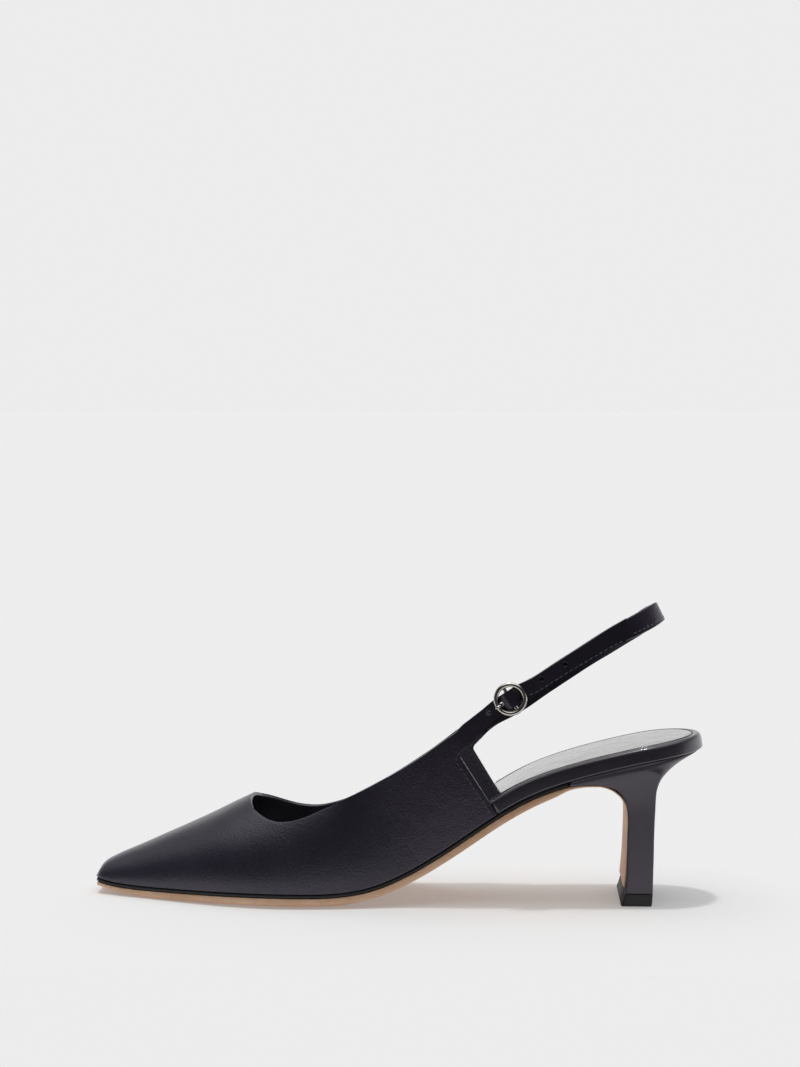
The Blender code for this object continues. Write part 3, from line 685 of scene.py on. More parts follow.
    def outline(self, stations: Iterable[float], inset: float, sides: Sides | None = None) -> np.ndarray:
        """Outline in plan, drawn in by an inset.

        Args:
            stations: Stations of the points.
            inset: How far it is drawn in.
            sides: Half widths at a station, the feather's where it is None.

        Returns:
            Rows of station and distance across: the lateral side from the toe back, then the medial side
            forward.
        """
        sides = sides or self.widths
        order = sorted(stations, reverse=True)
        lateral, medial = ([(s, side.sign * sides(s)[side.value]) for s in order] for side in Side)
        line = np.array(lateral + medial[::-1])
        tangent = np.roll(line, -1, axis=0) - np.roll(line, 1, axis=0)
        tangent /= np.linalg.norm(tangent, axis=1)[:, None]
        inward = np.stack([tangent[:, 1], -tangent[:, 0]], axis=1)
        back = line[len(order) // 2]
        if (inward[len(order) // 2] * (np.array([line[:, 0].mean(), 0.0]) - back)).sum() < 0:
            inward = -inward
        return line + inward * inset

    def plate(
        self,
        stations: Sequence[float],
        layers: Sequence[tuple[float, Line]],
        roof: Sequence[tuple[float, Line]],
        sides: Sides | None = None,
        spine: tuple[float, float] = (26.0, 236.0),
    ) -> bmesh.types.BMesh:
        """Plate whose edge goes through layers and whose upper face draws in to a line along its middle.

        Args:
            stations: Stations of the outline.
            layers: Inset and rise of each ring of the edge, lowest first.
            roof: Share of the way in from the last layer to the middle line, and the rise there.
            sides: Half widths at a station.
            spine: Stations between which the middle line runs.

        Returns:
            The plate's bmesh.
        """
        rings = []
        for inset, rise in layers:
            rings.append([self.place(s, rise(s), y) for s, y in self.outline(stations, inset, sides)])
        last = self.outline(stations, layers[-1][0], sides)
        half = len(last) // 2
        centre = (last[:, 1] + last[::-1, 1]) / 2
        centre[:half], centre[half:] = centre[:half], centre[:half][::-1]
        aim = np.stack([np.clip(last[:, 0], *spine), centre], axis=1)
        for share, rise in roof:
            line = last + (aim - last) * share
            rings.append([self.place(s, rise(s), y) for s, y in line])
        return loft(rings, (True, False))


def level(value: float) -> Line:
    """Returns a line that stays at one value."""
    return lambda s: value


@dataclass
class Tab:
    """The lateral wing's buckle tab: its line, its lift over the bar, its holes and the slanted end.

    A row is a station, a height, a place across and a width. The buckle's place is the same without a width.
    A hole is a place along the tab from the buckle's middle, and a radius.
    """

    last: Last
    buckle: tuple = (78.9, 84.5, -28.5)
    ring_room: float = 5.2
    ring_tube: float = 0.92
    bar_depth: float = 2.2
    loop_radius: float = 1.65
    clearance: float = 0.2
    slant: float = 0.64
    slant_rows: int = 13
    rows: tuple = (
        (96.2, 70.2, -27.1, 7.7), (92.4, 73.6, -27.15, 7.2), (88.6, 77.0, -27.2, 6.6),
        (83.4, 81.6, -27.38, 6.3), (78.9, 84.5, -27.38, 6.9), (74.4, 87.4, -27.38, 6.3),
        (68.6, 90.2, -27.0, 6.2), (63.8, 93.3, -26.7, 6.2), (59.1, 96.3, -26.4, 6.3),
        (54.3, 99.3, -26.1, 6.4), (49.6, 102.2, -25.7, 6.6), (44.8, 105.1, -25.2, 6.9),
        (40.4, 107.8, -24.6, 7.2), (36.4, 110.0, -24.0, 7.6), (32.8, 111.7, -23.5, 8.0),
    )
    holes: tuple = ((-10.3, 0.95), (-3.8, 0.9), (14.9, 0.95), (25.8, 0.95))

    def __post_init__(self) -> None:
        """Sets the directions along and across the tab."""
        self.along = Vector((0.842, 0.0, 0.5394)).normalized()
        self.wide = Vector((-0.5394, 0.0, 0.842)).normalized()
        self.out = Vector((0.0, -1.0, 0.0))

    def centre(self) -> Vector:
        """Returns the middle of the buckle's ring."""
        return self.last.side(*self.buckle)

    def bar(self) -> Vector:
        """Returns the middle of the buckle's bar."""
        return self.centre() - self.out * self.bar_depth

    def lift(self, t: float, w: float) -> float:
        """Returns how far the outer face is in front of the ring's plane, t along and w across the tab."""
        under = -(self.ring_tube + self.clearance)
        over = -self.bar_depth + self.loop_radius + self.clearance + self.last.wall
        end = math.sqrt(self.ring_room**2 - w * w)
        x = clamp((abs(t) - 0.8) / (end - 0.8))
        return over + (under - over) * (3 * x * x - 2 * x**3)

    def run(
        self, start: np.ndarray, shares: Sequence[float], line: Sequence[Sequence[float]], count: int
    ) -> list[list[Vector]]:
        """Rows of points from a wing's edge along a strip.

        Args:
            start: Three columns of the wing, each with one point for every share, the edge's column last.
            shares: Places across the strip, from 0 at its lower edge to 1 at its upper edge.
            line: The strip's own rows, as in the class.
            count: How many points each line over wing and strip has.

        Returns:
            Rows after the wing's edge, each with one point for every share.
        """
        lines = []
        for i, share in enumerate(shares):
            track = [tuple(column[i]) for column in start]
            for s, z, y, width in line:
                track.append(tuple(self.last.side(s, z, y) + self.wide * ((share - 0.5) * width)))
            lines.append(spline(track, count))
        skip = next(k for k in range(count) if lines[0][k][0] > start[-1][0][0] + 0.3)
        return [[Vector(one[k]) for one in lines] for k in range(skip, count)]

    def strip(self, start: np.ndarray, shares: Sequence[float]) -> list[list[Vector]]:
        """Returns the tab's rows, as run does, with the lift over the bar and the slanted end."""
        rows = self.run(start, shares, self.rows, 190)
        for k, row in enumerate(rows, start=self.slant_rows + 1 - len(rows)):
            slant = self.slant * max(0.0, k / self.slant_rows) ** 2 * self.rows[-1][3]
            for i, (p, share) in enumerate(zip(row, shares)):
                t, w = ((p - self.centre()).dot(axis) for axis in (self.along, self.wide))
                if abs(t) < self.ring_room:
                    p.y -= self.lift(t, w) + self.ring_tube + self.clearance
                row[i] = p + self.along * (slant * (share - 0.5))
        return rows

    def bend(self, track: Sequence[tuple[float, float]], origin: Vector, count: int) -> Path:
        """Smooth path in the upright plane along the tab.

        Args:
            track: Places along the tab and outwards.
            origin: The point that they are measured from.
            count: How many points the path has.

        Returns:
            Its points, each with the direction square to the path.
        """
        fine = spline([(t, o, 0.0) for t, o in track], count)
        found = []
        for k, (t, o, _) in enumerate(fine):
            step = fine[min(k + 1, count - 1)] - fine[max(k - 1, 0)]
            step = step / np.linalg.norm(step)
            found.append((origin + self.along * t + self.out * o, self.out * step[0] - self.along * step[1]))
        return found


@dataclass
class Upper:
    """Vamp and wings in one: a band from the lateral wing round the toe to the medial one, with its tab.

    The top rows are station and rise, lateral side first. A fan row is a station at the feather and the one
    at the top line that its column leads to. The lip's rows are those of a tab.
    """

    last: Last
    tab: Tab
    finishes: Finishes
    throat: float = 184.9
    wing_height: float = 38.0
    notch: float = 2.4
    notch_reach: float = 12.0
    edge_round: float = 0.6
    puckers: float = 0.11
    pucker_height: float = 0.13
    pucker_start: float = 120.0
    pucker_full: float = 165.0
    strap_shares: tuple = (11 / 14, 10 / 14)
    along: int = 104
    toe: int = 34
    top_rows: tuple = (
        ((82, 36.5), (92, 36.1), (102, 36.4), (113, 37.1), (128.5, 37.0), (142, 35.6), (154, 32.7),
         (164, 28.9), (172, 27.5), (177, 28.6), (180.6, 30.3), (183.3, 31.8), (184.9, 32.9)),
        ((82, 32.3), (93.8, 31.5), (104, 31.6), (116.8, 31.6), (132.5, 30.6), (144, 28.5), (153, 26.6),
         (160.5, 25.2), (168, 25.8), (175.2, 28.4), (180, 30.9), (184.9, 33.5)),
    )
    fan_rows: tuple = (
        (82, 82), (100, 100), (120, 118.75), (140, 136.25), (160, 152), (180, 163.5), (200, 171.25),
        (220, 177), (240, 181), (250, 182.9),
    )
    lip: tuple = ((91.9, 66.8, 25.3, 8.4), (86.6, 70.4, 24.9, 7.4), (80.6, 73.6, 24.6, 6.9))

    def __post_init__(self) -> None:
        """Fairs the top line and sets the rows from the feather up, closer together at the notch."""
        self.top = tuple(fair(rows, ease=2.5, hold=12.0) for rows in self.top_rows)
        self.fan = fair(self.fan_rows)
        medial, lateral = sorted(self.strap_shares)
        near = medial - 0.08
        runs = ((0.0, near, 34), (near, medial, 8), (medial, lateral, 9), (lateral, 1.0, 12))
        self.rows = np.unique(np.concatenate([np.linspace(*run) for run in runs]).round(6))
        self.splits = tuple(int(np.argmin(abs(self.rows - share))) for share in self.strap_shares)

    def notch_shift(self, v: float, side: Side) -> float:
        """Returns how far a wing's back edge reaches back at a height, to round the notch under the strap."""
        d = (self.strap_shares[side.value] - v) * self.wing_height
        if d >= self.notch:
            return 0.0
        return self.notch - math.sqrt(max(0.0, self.notch**2 - (self.notch - max(d, 0.0)) ** 2))

    def column(
        self, s: float, phi: float, top_s: float, top_phi: float, wing: float = 0.0, side: Side = Side.LATERAL
    ) -> list[Vector]:
        """One column from the feather to the top line.

        Args:
            s: Station at the feather.
            phi: Angle at the feather.
            top_s: Station at the top line.
            top_phi: Angle at the top line.
            wing: Share of the notch's rounding that this column takes.
            side: The wing that the rounding belongs to.

        Returns:
            Its points, feather first.
        """
        power = 1 + 0.6 * clamp((s / self.last.length - 0.85) / 0.15)
        points = []
        for v in self.rows:
            back = self.notch_shift(v, side) * wing
            points.append(self.last.point(s + (top_s - s) * v**power - back, phi + (top_phi - phi) * v))
        return points

    def columns(self) -> list[list[Vector]]:
        """Returns every column, from the lateral wing's back edge round the toe to the medial one."""
        tip = self.last.outline_rows[-1][0]
        corner = self.fan(tip)
        low = self.last.phi_at(corner, self.top[0](corner))
        high = 180 - self.last.phi_at(corner, self.top[1](corner))
        sides = ([], [])
        for side, end, line in zip(Side, self.last.wing_ends, sides):
            for k in range(self.along + 1):
                s = end + (tip - end) * (1 - (1 - k / self.along) ** 1.12)
                top_s = self.fan(s)
                top = side.angle(self.last.phi_at(top_s, self.top[side.value](top_s)))
                wing = max(0.0, 1 - (s - end) / self.notch_reach) ** 2
                line.append(self.column(s, side.angle(0.0), top_s, top, wing, side))
        arc = []
        for k in range(1, self.toe):
            t = k / self.toe
            top_s = corner + (self.throat - corner) * (1 - abs(2 * t - 1) ** 2.2)
            arc.append(self.column(tip, 180 * t, top_s, low + (high - low) * t))
        return self.pucker(sides[0] + arc + sides[1][::-1])

    def pucker(self, columns: list[list[Vector]]) -> list[list[Vector]]:
        """Waves the forepart's lower edge in and out a little, where the leather was pulled under the last.

        Args:
            columns: The upper's columns, each with its feather point first.

        Returns:
            The same columns.
        """
        run = 0.0
        inside = Vector((self.last.origin - 170.0, 0.0, 0.0))
        feet = [column[0].copy() for column in columns]
        for i, column in enumerate(columns):
            ahead, back = feet[min(i + 1, len(feet) - 1)], feet[max(i - 1, 0)]
            run += (feet[i] - feet[max(i - 1, 0)]).length
            along = (ahead - back).normalized()
            outward = Vector((-along.y, along.x, 0.0))
            if outward.dot(feet[i] - inside) < 0:
                outward = -outward
            station = self.last.origin - feet[i].x
            reach = clamp((station - self.pucker_start) / (self.pucker_full - self.pucker_start))
            wave = math.sin(run / 1.25) + 0.7 * math.sin(run / 0.83 + 1.3)
            for j, v in enumerate(self.rows):
                fade = max(0.0, 1 - v / self.pucker_height) ** 2
                column[j] = column[j] + outward * (self.puckers * wave * reach * fade)
        return columns

    def build(self) -> bpy.types.Object:
        """Returns the upper: skin, wall with rounded edges, and holes in the tab."""
        columns = self.columns()
        across, up = len(columns) - 1, len(self.rows) - 1
        bm = bmesh.new()
        bmesh.ops.create_grid(bm, x_segments=across, y_segments=up, size=1.0)
        net = {}
        for vert in bm.verts:
            i, j = round((vert.co.x + 1) / 2 * across), round((vert.co.y + 1) / 2 * up)
            net[i, j] = vert
        for (i, j), vert in net.items():
            vert.co = columns[i][j] * MM
        for side, first, turn in ((Side.LATERAL, 0, 1), (Side.MEDIAL, across, -1)):
            split, share = self.splits[side.value], self.strap_shares[side.value]
            shares = [(v - share) / (1 - share) for v in self.rows[split:]]
            start = np.array([[tuple(p) for p in columns[first + turn * k][split:]] for k in (8, 4, 0)])
            if side is Side.LATERAL:
                rows = self.tab_rows = self.tab.strip(start, shares)
            else:
                rows = self.tab.run(start, shares, self.lip, 60)
            front = [net[first, j] for j in range(split, up + 1)]
            for row in rows:
                edges = [bm.edges.get(pair) for pair in zip(front, front[1:])]
                _, front = extrude(bm, edges, front, row)
        inner = [v for v in bm.verts if not v.is_boundary]
        every_axis = {"use_axis_x": True, "use_axis_y": True, "use_axis_z": True}
        for _ in range(3):
            bmesh.ops.smooth_vert(bm, verts=inner, factor=0.5, **every_axis)
        bmesh.ops.remove_doubles(bm, verts=bm.verts[:], dist=2e-6)
        bmesh.ops.recalc_face_normals(bm, faces=bm.faces[:])
        over_toes = Vector(((self.last.origin - 215) * MM, 0.005))
        crown = min(bm.faces, key=lambda f: sum(abs(d) for d in f.calc_center_median().xy - over_toes))
        if crown.normal.z < 0:
            bmesh.ops.reverse_faces(bm, faces=bm.faces[:])
        obj = make_piece(bm, "upper_skin", [self.finishes.calf, self.finishes.lining])
        shell = obj.modifiers.new("wall", "SOLIDIFY")
        shell.thickness = self.last.wall * MM
        shell.offset = -1
        shell.use_even_offset = True
        shell.material_offset = 1
        rounding = obj.modifiers.new("folded_edge", "BEVEL")
        rounding.width = self.edge_round * MM
        rounding.segments = 3
        rounding.limit_method = "ANGLE"
        rounding.angle_limit = math.radians(55)
        rounding.use_clamp_overlap = True
        bake_modifiers(obj)
        punch = self.punches()
        cutter = obj.modifiers.new("holes", "BOOLEAN")
        cutter.operation = "DIFFERENCE"
        cutter.solver = "EXACT"
        cutter.object = punch
        bake_modifiers(obj)
        bpy.data.objects.remove(punch)
        for polygon in obj.data.polygons:
            polygon.use_smooth = True
        return obj

    def punches(self) -> bpy.types.Object:
        """Returns the round punches for the holes of the tab."""
        bm = bmesh.new()
        for t, radius in self.tab.holes:
            middle = self.tab.centre() + self.tab.along * t
            cylinder(bm, middle - self.tab.out * 5, middle + self.tab.out * 5, radius, 28)
        return make_piece(bm, "punches", [self.finishes.lining])


@dataclass
class Bed:
    """What the foot stands on: the covered insole rim, the glazed sock set into it, and the black midsole."""

    last: Last
    finishes: Finishes
    gap: float = 0.3
    rim: float = 6.0
    forepart: float = 2.2
    sock_inset: float = 3.8
    midsole_thick: float = 1.3
    behind_wings: float = 82.0
    sock_blend: float = 16.0

    def __post_init__(self) -> None:
        """Sets the stations and the thickness along the insole."""
        rim, forepart = self.rim, self.forepart
        self.thick = fair(((0, rim), (70, rim), (105, 4.6), (150, forepart), (250, forepart)))
        by_wings = [end - ahead for end in sorted(self.last.wing_ends) for ahead in (0.3, 0.15)]
        self.stations = [
            *self.last.seat_stations(self.last.seat_back + 0.05, 26), *np.arange(26.5, 82.3, 1.5), *by_wings,
            *np.arange(85.5, 243.0, 1.75), 243.6, 244.6,
        ]

    def room(self, s: float) -> tuple[float, float]:
        """Returns the half widths inside the upper."""
        clear = self.last.wall + self.gap + 0.15
        rises = (0.0, min(self.forepart + 0.2, 0.6 * self.last.ridge_rise(s)))
        across = self.last.across
        return tuple(min(side.sign * across(s, rise, side) for rise in rises) - clear for side in Side)

    def rim_sides(self, s: float) -> tuple[float, float]:
        """Returns the rim's half widths: full at the seat, inside the wings further forward."""
        pairs = zip(self.last.widths(s), self.room(max(s, self.behind_wings)), self.last.wing_ends)
        return tuple(full if s <= end - self.gap + 0.01 else fit for full, fit, end in pairs)

    def sock_sides(self, s: float) -> tuple[float, float]:
        """Returns the sock's half widths."""
        full = self.last.widths(s, self.sock_inset)
        k = clamp((s - self.last.wing_ends[1] + self.sock_blend) / self.sock_blend)
        if not k:
            return full
        room = self.room(max(s, self.behind_wings))
        return tuple(a + (b - self.sock_inset - a) * k for a, b in zip(full, room))

    def build_rim(self) -> bpy.types.Object:
        """Returns the insole, with the leather cover rolled over its edge and a recess for the sock."""
        section = (
            (0.35, 0.0), (0.05, 0.06), (0.0, 0.2), (0.0, 0.45), (0.05, 0.62), (0.22, 0.78), (0.6, 0.91),
            (1.2, 0.98), (1.9, 1.0), (2.6, 0.995), (3.1, 0.97), (3.4, 0.84),
        )
        fine = spline([(a, b * self.rim, 0.0) for a, b in section], 34)
        layers = [(float(a), lambda s, b=float(b) / self.rim: b * self.thick(s)) for a, b, _ in fine]
        deck = lambda s: self.thick(s) * 0.84  # noqa: E731
        bm = self.last.plate(self.stations, layers, ((0.5, deck), (1.0, deck)), self.rim_sides)
        return make_piece(bm, "insole_rim", [self.finishes.rim])

    def build_sock(self) -> bpy.types.Object:
        """Returns the sock, softly domed, with a turned-down edge."""
        back = self.last.seat_stations(self.last.seat_back + self.sock_inset + 0.05, 24)
        stations = back + [s for s in self.stations if 26 < s < 236]
        edge = ((0.5, -0.75), (0.15, -0.5), (0.0, -0.3), (0.05, -0.12), (0.25, 0.02), (0.6, 0.1))
        layers = [(a, lambda s, b=b: self.thick(s) + b) for a, b in edge]
        domes = [(k / 16, 0.1 + 0.12 * math.sin(math.pi / 2 * k / 16)) for k in range(1, 17)]
        roof = [(share, lambda s, dome=dome: self.thick(s) + dome) for share, dome in domes]
        bm = self.last.plate(stations, layers, roof, self.sock_sides, (26.0, 228.0))
        return make_piece(bm, "sock_glazed", [self.finishes.sock])

    def build_midsole(self) -> bpy.types.Object:
        """Returns the thin black midsole between the upper and the sole."""
        stations = list(np.arange(55.7, 242.0, 1.6)) + [242.5, 244, 245.5, 246.6, 247.5, 248.2, 248.8, 249.2]
        low, high = -self.gap - self.midsole_thick, -self.gap
        lower = [(0.6, low), (0.35, low + 0.05), (0.2, low + 0.3)]
        upper = [(0.2, high - 0.3), (0.35, high - 0.05), (0.6, high)]
        layers = [(a, level(b)) for a, b in lower + upper]
        bm = self.last.plate(stations, layers, ((0.5, level(high)), (1.0, level(high))), None, (70.0, 236.0))
        return make_piece(bm, "midsole_inked", [self.finishes.ink])


@dataclass
class Outsole:
    """Natural leather sole that runs from the toe down the breast of the heel as one flap.

    Thinning, crown and skive are rows of a station with the share of the thickness, the bulge of the
    underside and the depth cut away. A flap row is station, height, half width and thickness.
    """

    last: Last
    finishes: Finishes
    edge: float = 3.0
    top: float = -1.9
    thinning: tuple = ((55.0, 0.62), (61.0, 0.82), (68.0, 0.96), (78.0, 1.0), (250.0, 1.0))
    crown: tuple = (
        (60.0, 0.1), (75.0, 0.15), (120.0, 0.2), (138.0, 0.7), (150.0, 1.7), (220.0, 1.7), (240.0, 0.35),
        (250.0, 0.3),
    )
    skive: tuple = ((225.0, 0.0), (236.0, 0.6), (241.5, 1.2), (247.5, 1.8))
    flap: tuple = (
        (55.6, 48.8, 24.6, 1.7), (51.0, 49.3, 24.0, 1.2), (46.3, 49.3, 23.2, 0.9), (41.8, 48.9, 22.0, 0.8),
        (37.4, 47.1, 20.9, 0.8), (34.3, 44.5, 19.8, 0.8), (32.3, 41.4, 19.0, 0.8), (31.4, 38.0, 18.7, 0.8),
        (31.2, 33.0, 18.5, 0.8), (31.4, 25.0, 18.4, 0.8), (31.8, 16.0, 18.3, 0.8), (32.6, 7.5, 18.3, 0.8),
    )

    def path(self) -> np.ndarray:
        """Returns rows of x, z, both half widths and thickness along the upper face, from toe to flap."""
        thinning, skive = fair(self.thinning, ease=2.0), fair(self.skive, ease=2.0, hold=6.0)
        stations = [248.4, 248.0, 247.4, 246.6, 245.4, 243.6, 241.5, 239.0, *np.arange(236.0, 60.0, -2.0)]
        path = []
        for s in stations:
            at = self.last.place(s, self.top, 0.0)
            path.append((at.x, at.z, *self.last.widths(s), self.edge * thinning(s) - skive(s)))
        rows = [(self.last.origin - s, z, half, half, thin) for s, z, half, thin in self.flap]
        track = spline([(x, z, 0.0, a, b, t) for x, z, a, b, t in [path[-1], *rows]], 60)
        return np.array(path + [(x, z, a, b, t) for x, z, _, a, b, t in track[1:]])

    def build(self) -> bpy.types.Object:
        """Returns the sole and its flap."""
        path = self.path()
        tangent = np.gradient(path[:, :2], axis=0)
        tangent /= np.linalg.norm(tangent, axis=1)[:, None]
        crown = fair(self.crown, ease=3.0)
        closing_above = [(0.35, 0.0, 0.0, inward) for inward in (1.0, 0.5)]
        edge = ((0.35, 0.0, 0.0), (0.1, 0.04, 0.0), (0.0, 0.12, 0.0), (0.0, 0.4, 0.0), (0.1, 0.55, 0.0),
                (0.35, 0.7, 0.0), (0.8, 0.84, 0.02), (1.4, 0.95, 0.1), (2.2, 1.0, 0.26), (3.3, 1.0, 0.46),
                (4.5, 1.0, 0.62), (6.0, 1.0, 0.84), (7.5, 1.0, 0.97), (9.0, 1.0, 1.0))
        closing_below = [(9.0, 1.0, 1.0, inward) for inward in (0.35, 0.7, 1.0)]
        rings = []
        for inset, share, bulge, inward in [*closing_above, *((*row, 0.0) for row in edge), *closing_below]:
            halves = ([], [])
            for (x, z, lateral, medial, thin), (tx, tz) in zip(path, tangent):
                s = self.last.origin - x
                fall = max(0.0, min(crown(s), z - thin)) if s > self.flap[0][0] else 0.0
                drop = thin * share + fall * bulge
                middle = (medial - lateral) / 2
                for side, half in zip(Side, (lateral, medial)):
                    reach = half - 0.2 - min(inset, 0.45 * half)
                    across = middle + (side.sign * reach - middle) * (1 - inward)
                    halves[side.value].append(Vector((x + tz * drop, across, max(0.0, z - tx * drop))))
            rings.append(halves[0] + halves[1][::-1])
        return make_piece(loft(rings, (False, False)), "outsole_tanned", [self.finishes.sole])


@dataclass
class Heel:
    """Covered heel with a flat breast, and its top piece.

    A row is station and height at the back, the same at the breast, half width, share of the depth that the
    rounded back takes, and how far that back is a half circle.
    """

    last: Last
    finishes: Finishes
    seat_front: float = 55.0
    recess: float = 1.1
    recess_top: float = 47.0
    rows: tuple = (
        (21.0, 5.3, 32.8, 5.3, 20.0, 0.05, 0.15), (20.9, 12.0, 32.3, 12.0, 20.0, 0.05, 0.15),
        (20.7, 20.0, 32.0, 20.0, 20.0, 0.05, 0.15), (20.6, 28.0, 31.9, 28.0, 20.1, 0.05, 0.15),
        (20.4, 34.5, 31.7, 34.0, 20.3, 0.05, 0.16), (20.2, 39.0, 31.9, 38.3, 20.6, 0.05, 0.20),
        (19.9, 43.2, 32.7, 42.2, 21.1, 0.06, 0.30), (19.1, 47.3, 34.2, 45.3, 21.9, 0.09, 0.42),
        (17.1, 51.3, 36.7, 47.7, 22.9, 0.13, 0.60), (13.9, 54.5, 40.2, 49.0, 23.8, 0.20, 0.75),
        (10.3, 57.0, 44.5, 49.6, 24.5, 0.32, 0.88), (6.3, 59.4, 49.5, 49.6, 25.0, 0.42, 0.96),
        (2.6, 61.4, 55.0, 49.3, 25.3, 0.46, 1.00),
    )

    def ring(
        self,
        back: tuple[float, float],
        breast: tuple[float, float],
        half: float,
        share: float,
        roundness: float,
        recess: float = 0.0,
        seat: bool = False,
    ) -> list[Vector]:
        """One level of the heel.

        Args:
            back: Station and height at the back.
            breast: Station and height at the breast.
            half: Half width.
            share: Share of the depth that the rounded back takes.
            roundness: How far the back is a half circle rather than a flat bow.
            recess: Depth of the flap's seat in the breast.
            seat: Whether the level lies along the bottom line.

        Returns:
            Its points, from the lateral front corner round the back to the medial one.
        """
        (sb, zb), (sf, zf) = back, breast

        def point(a: float, y: float) -> Vector:
            """Returns the point at a share of the depth and a share of the half width."""
            s, z, limit = sb + (sf - sb) * a, zb + (zf - zb) * a, half
            if s > self.last.seat_round:
                limit = min(half, self.last.half[0 if y < 0 else 1](s) - 0.3)
            return self.last.place(s, -0.3, y * limit) if seat else self.last.side(s, z, y * limit)

        edge, corner = 0.02, 0.35 / (sf - sb)
        sides = np.linspace(1.0, 0.0, 11)[:-1]
        loop = [point(share + (1 - edge - share) * k, -1.0) for k in sides]
        for angle in np.radians(np.linspace(-90, 90, 61)):
            y = math.sin(angle)
            loop.append(point(share * ((1 - roundness) * y * y + roundness * (1 - math.cos(angle))), y))
        loop += [point(share + (1 - edge - share) * k, 1.0) for k in sides[::-1]]
        deep = 1.0 - recess / (sf - sb)
        lip = 0.955 if recess else 0.9
        front = ((deep, lip - 0.01), (1.0 - corner, lip - 0.002), (1.0, lip + 0.008), (1.0, 0.985),
                 (1.0 - corner, 0.997))
        return [point(a, -y) for a, y in front] + loop + [point(a, y) for a, y in reversed(front)]

    def build(self) -> bpy.types.Object:
        """Returns the covered heel."""
        rows = spline([(r[1], r[3], r[0], r[2], *r[4:]) for r in self.rows], 64)
        rings = []
        for zb, zf, sb, sf, half, share, roundness in rows:
            recess = self.recess * clamp((self.recess_top - zf) / 5.0)
            rings.append(self.ring((sb, zb), (sf, zf), half, share, roundness, recess))
        rings.append(self.ring((1.6, 0), (self.seat_front, 0), 25.4, 0.46, 1.0, seat=True))
        return make_piece(loft(rings), "heel_cover", [self.finishes.cover])

    def build_top_piece(self) -> bpy.types.Object:
        """Returns the top piece that stands on the ground."""
        low = (
            (22.0, 33.7, 0.0, 0.7), (21.6, 34.1, 0.12, 0.3), (21.35, 34.3, 0.5, 0.05),
            (21.25, 34.2, 1.0, 0.0), (21.15, 33.7, 2.2, 0.0), (21.1, 33.3, 3.4, 0.0),
            (21.0, 33.0, 4.6, 0.0), (21.1, 32.9, 5.0, 0.15),
        )
        rings = [self.ring((sb, z), (sf, z), 20.0 - less, 0.05, 0.15) for sb, sf, z, less in low]
        return make_piece(loft(rings), "top_piece_block", [self.finishes.lift])


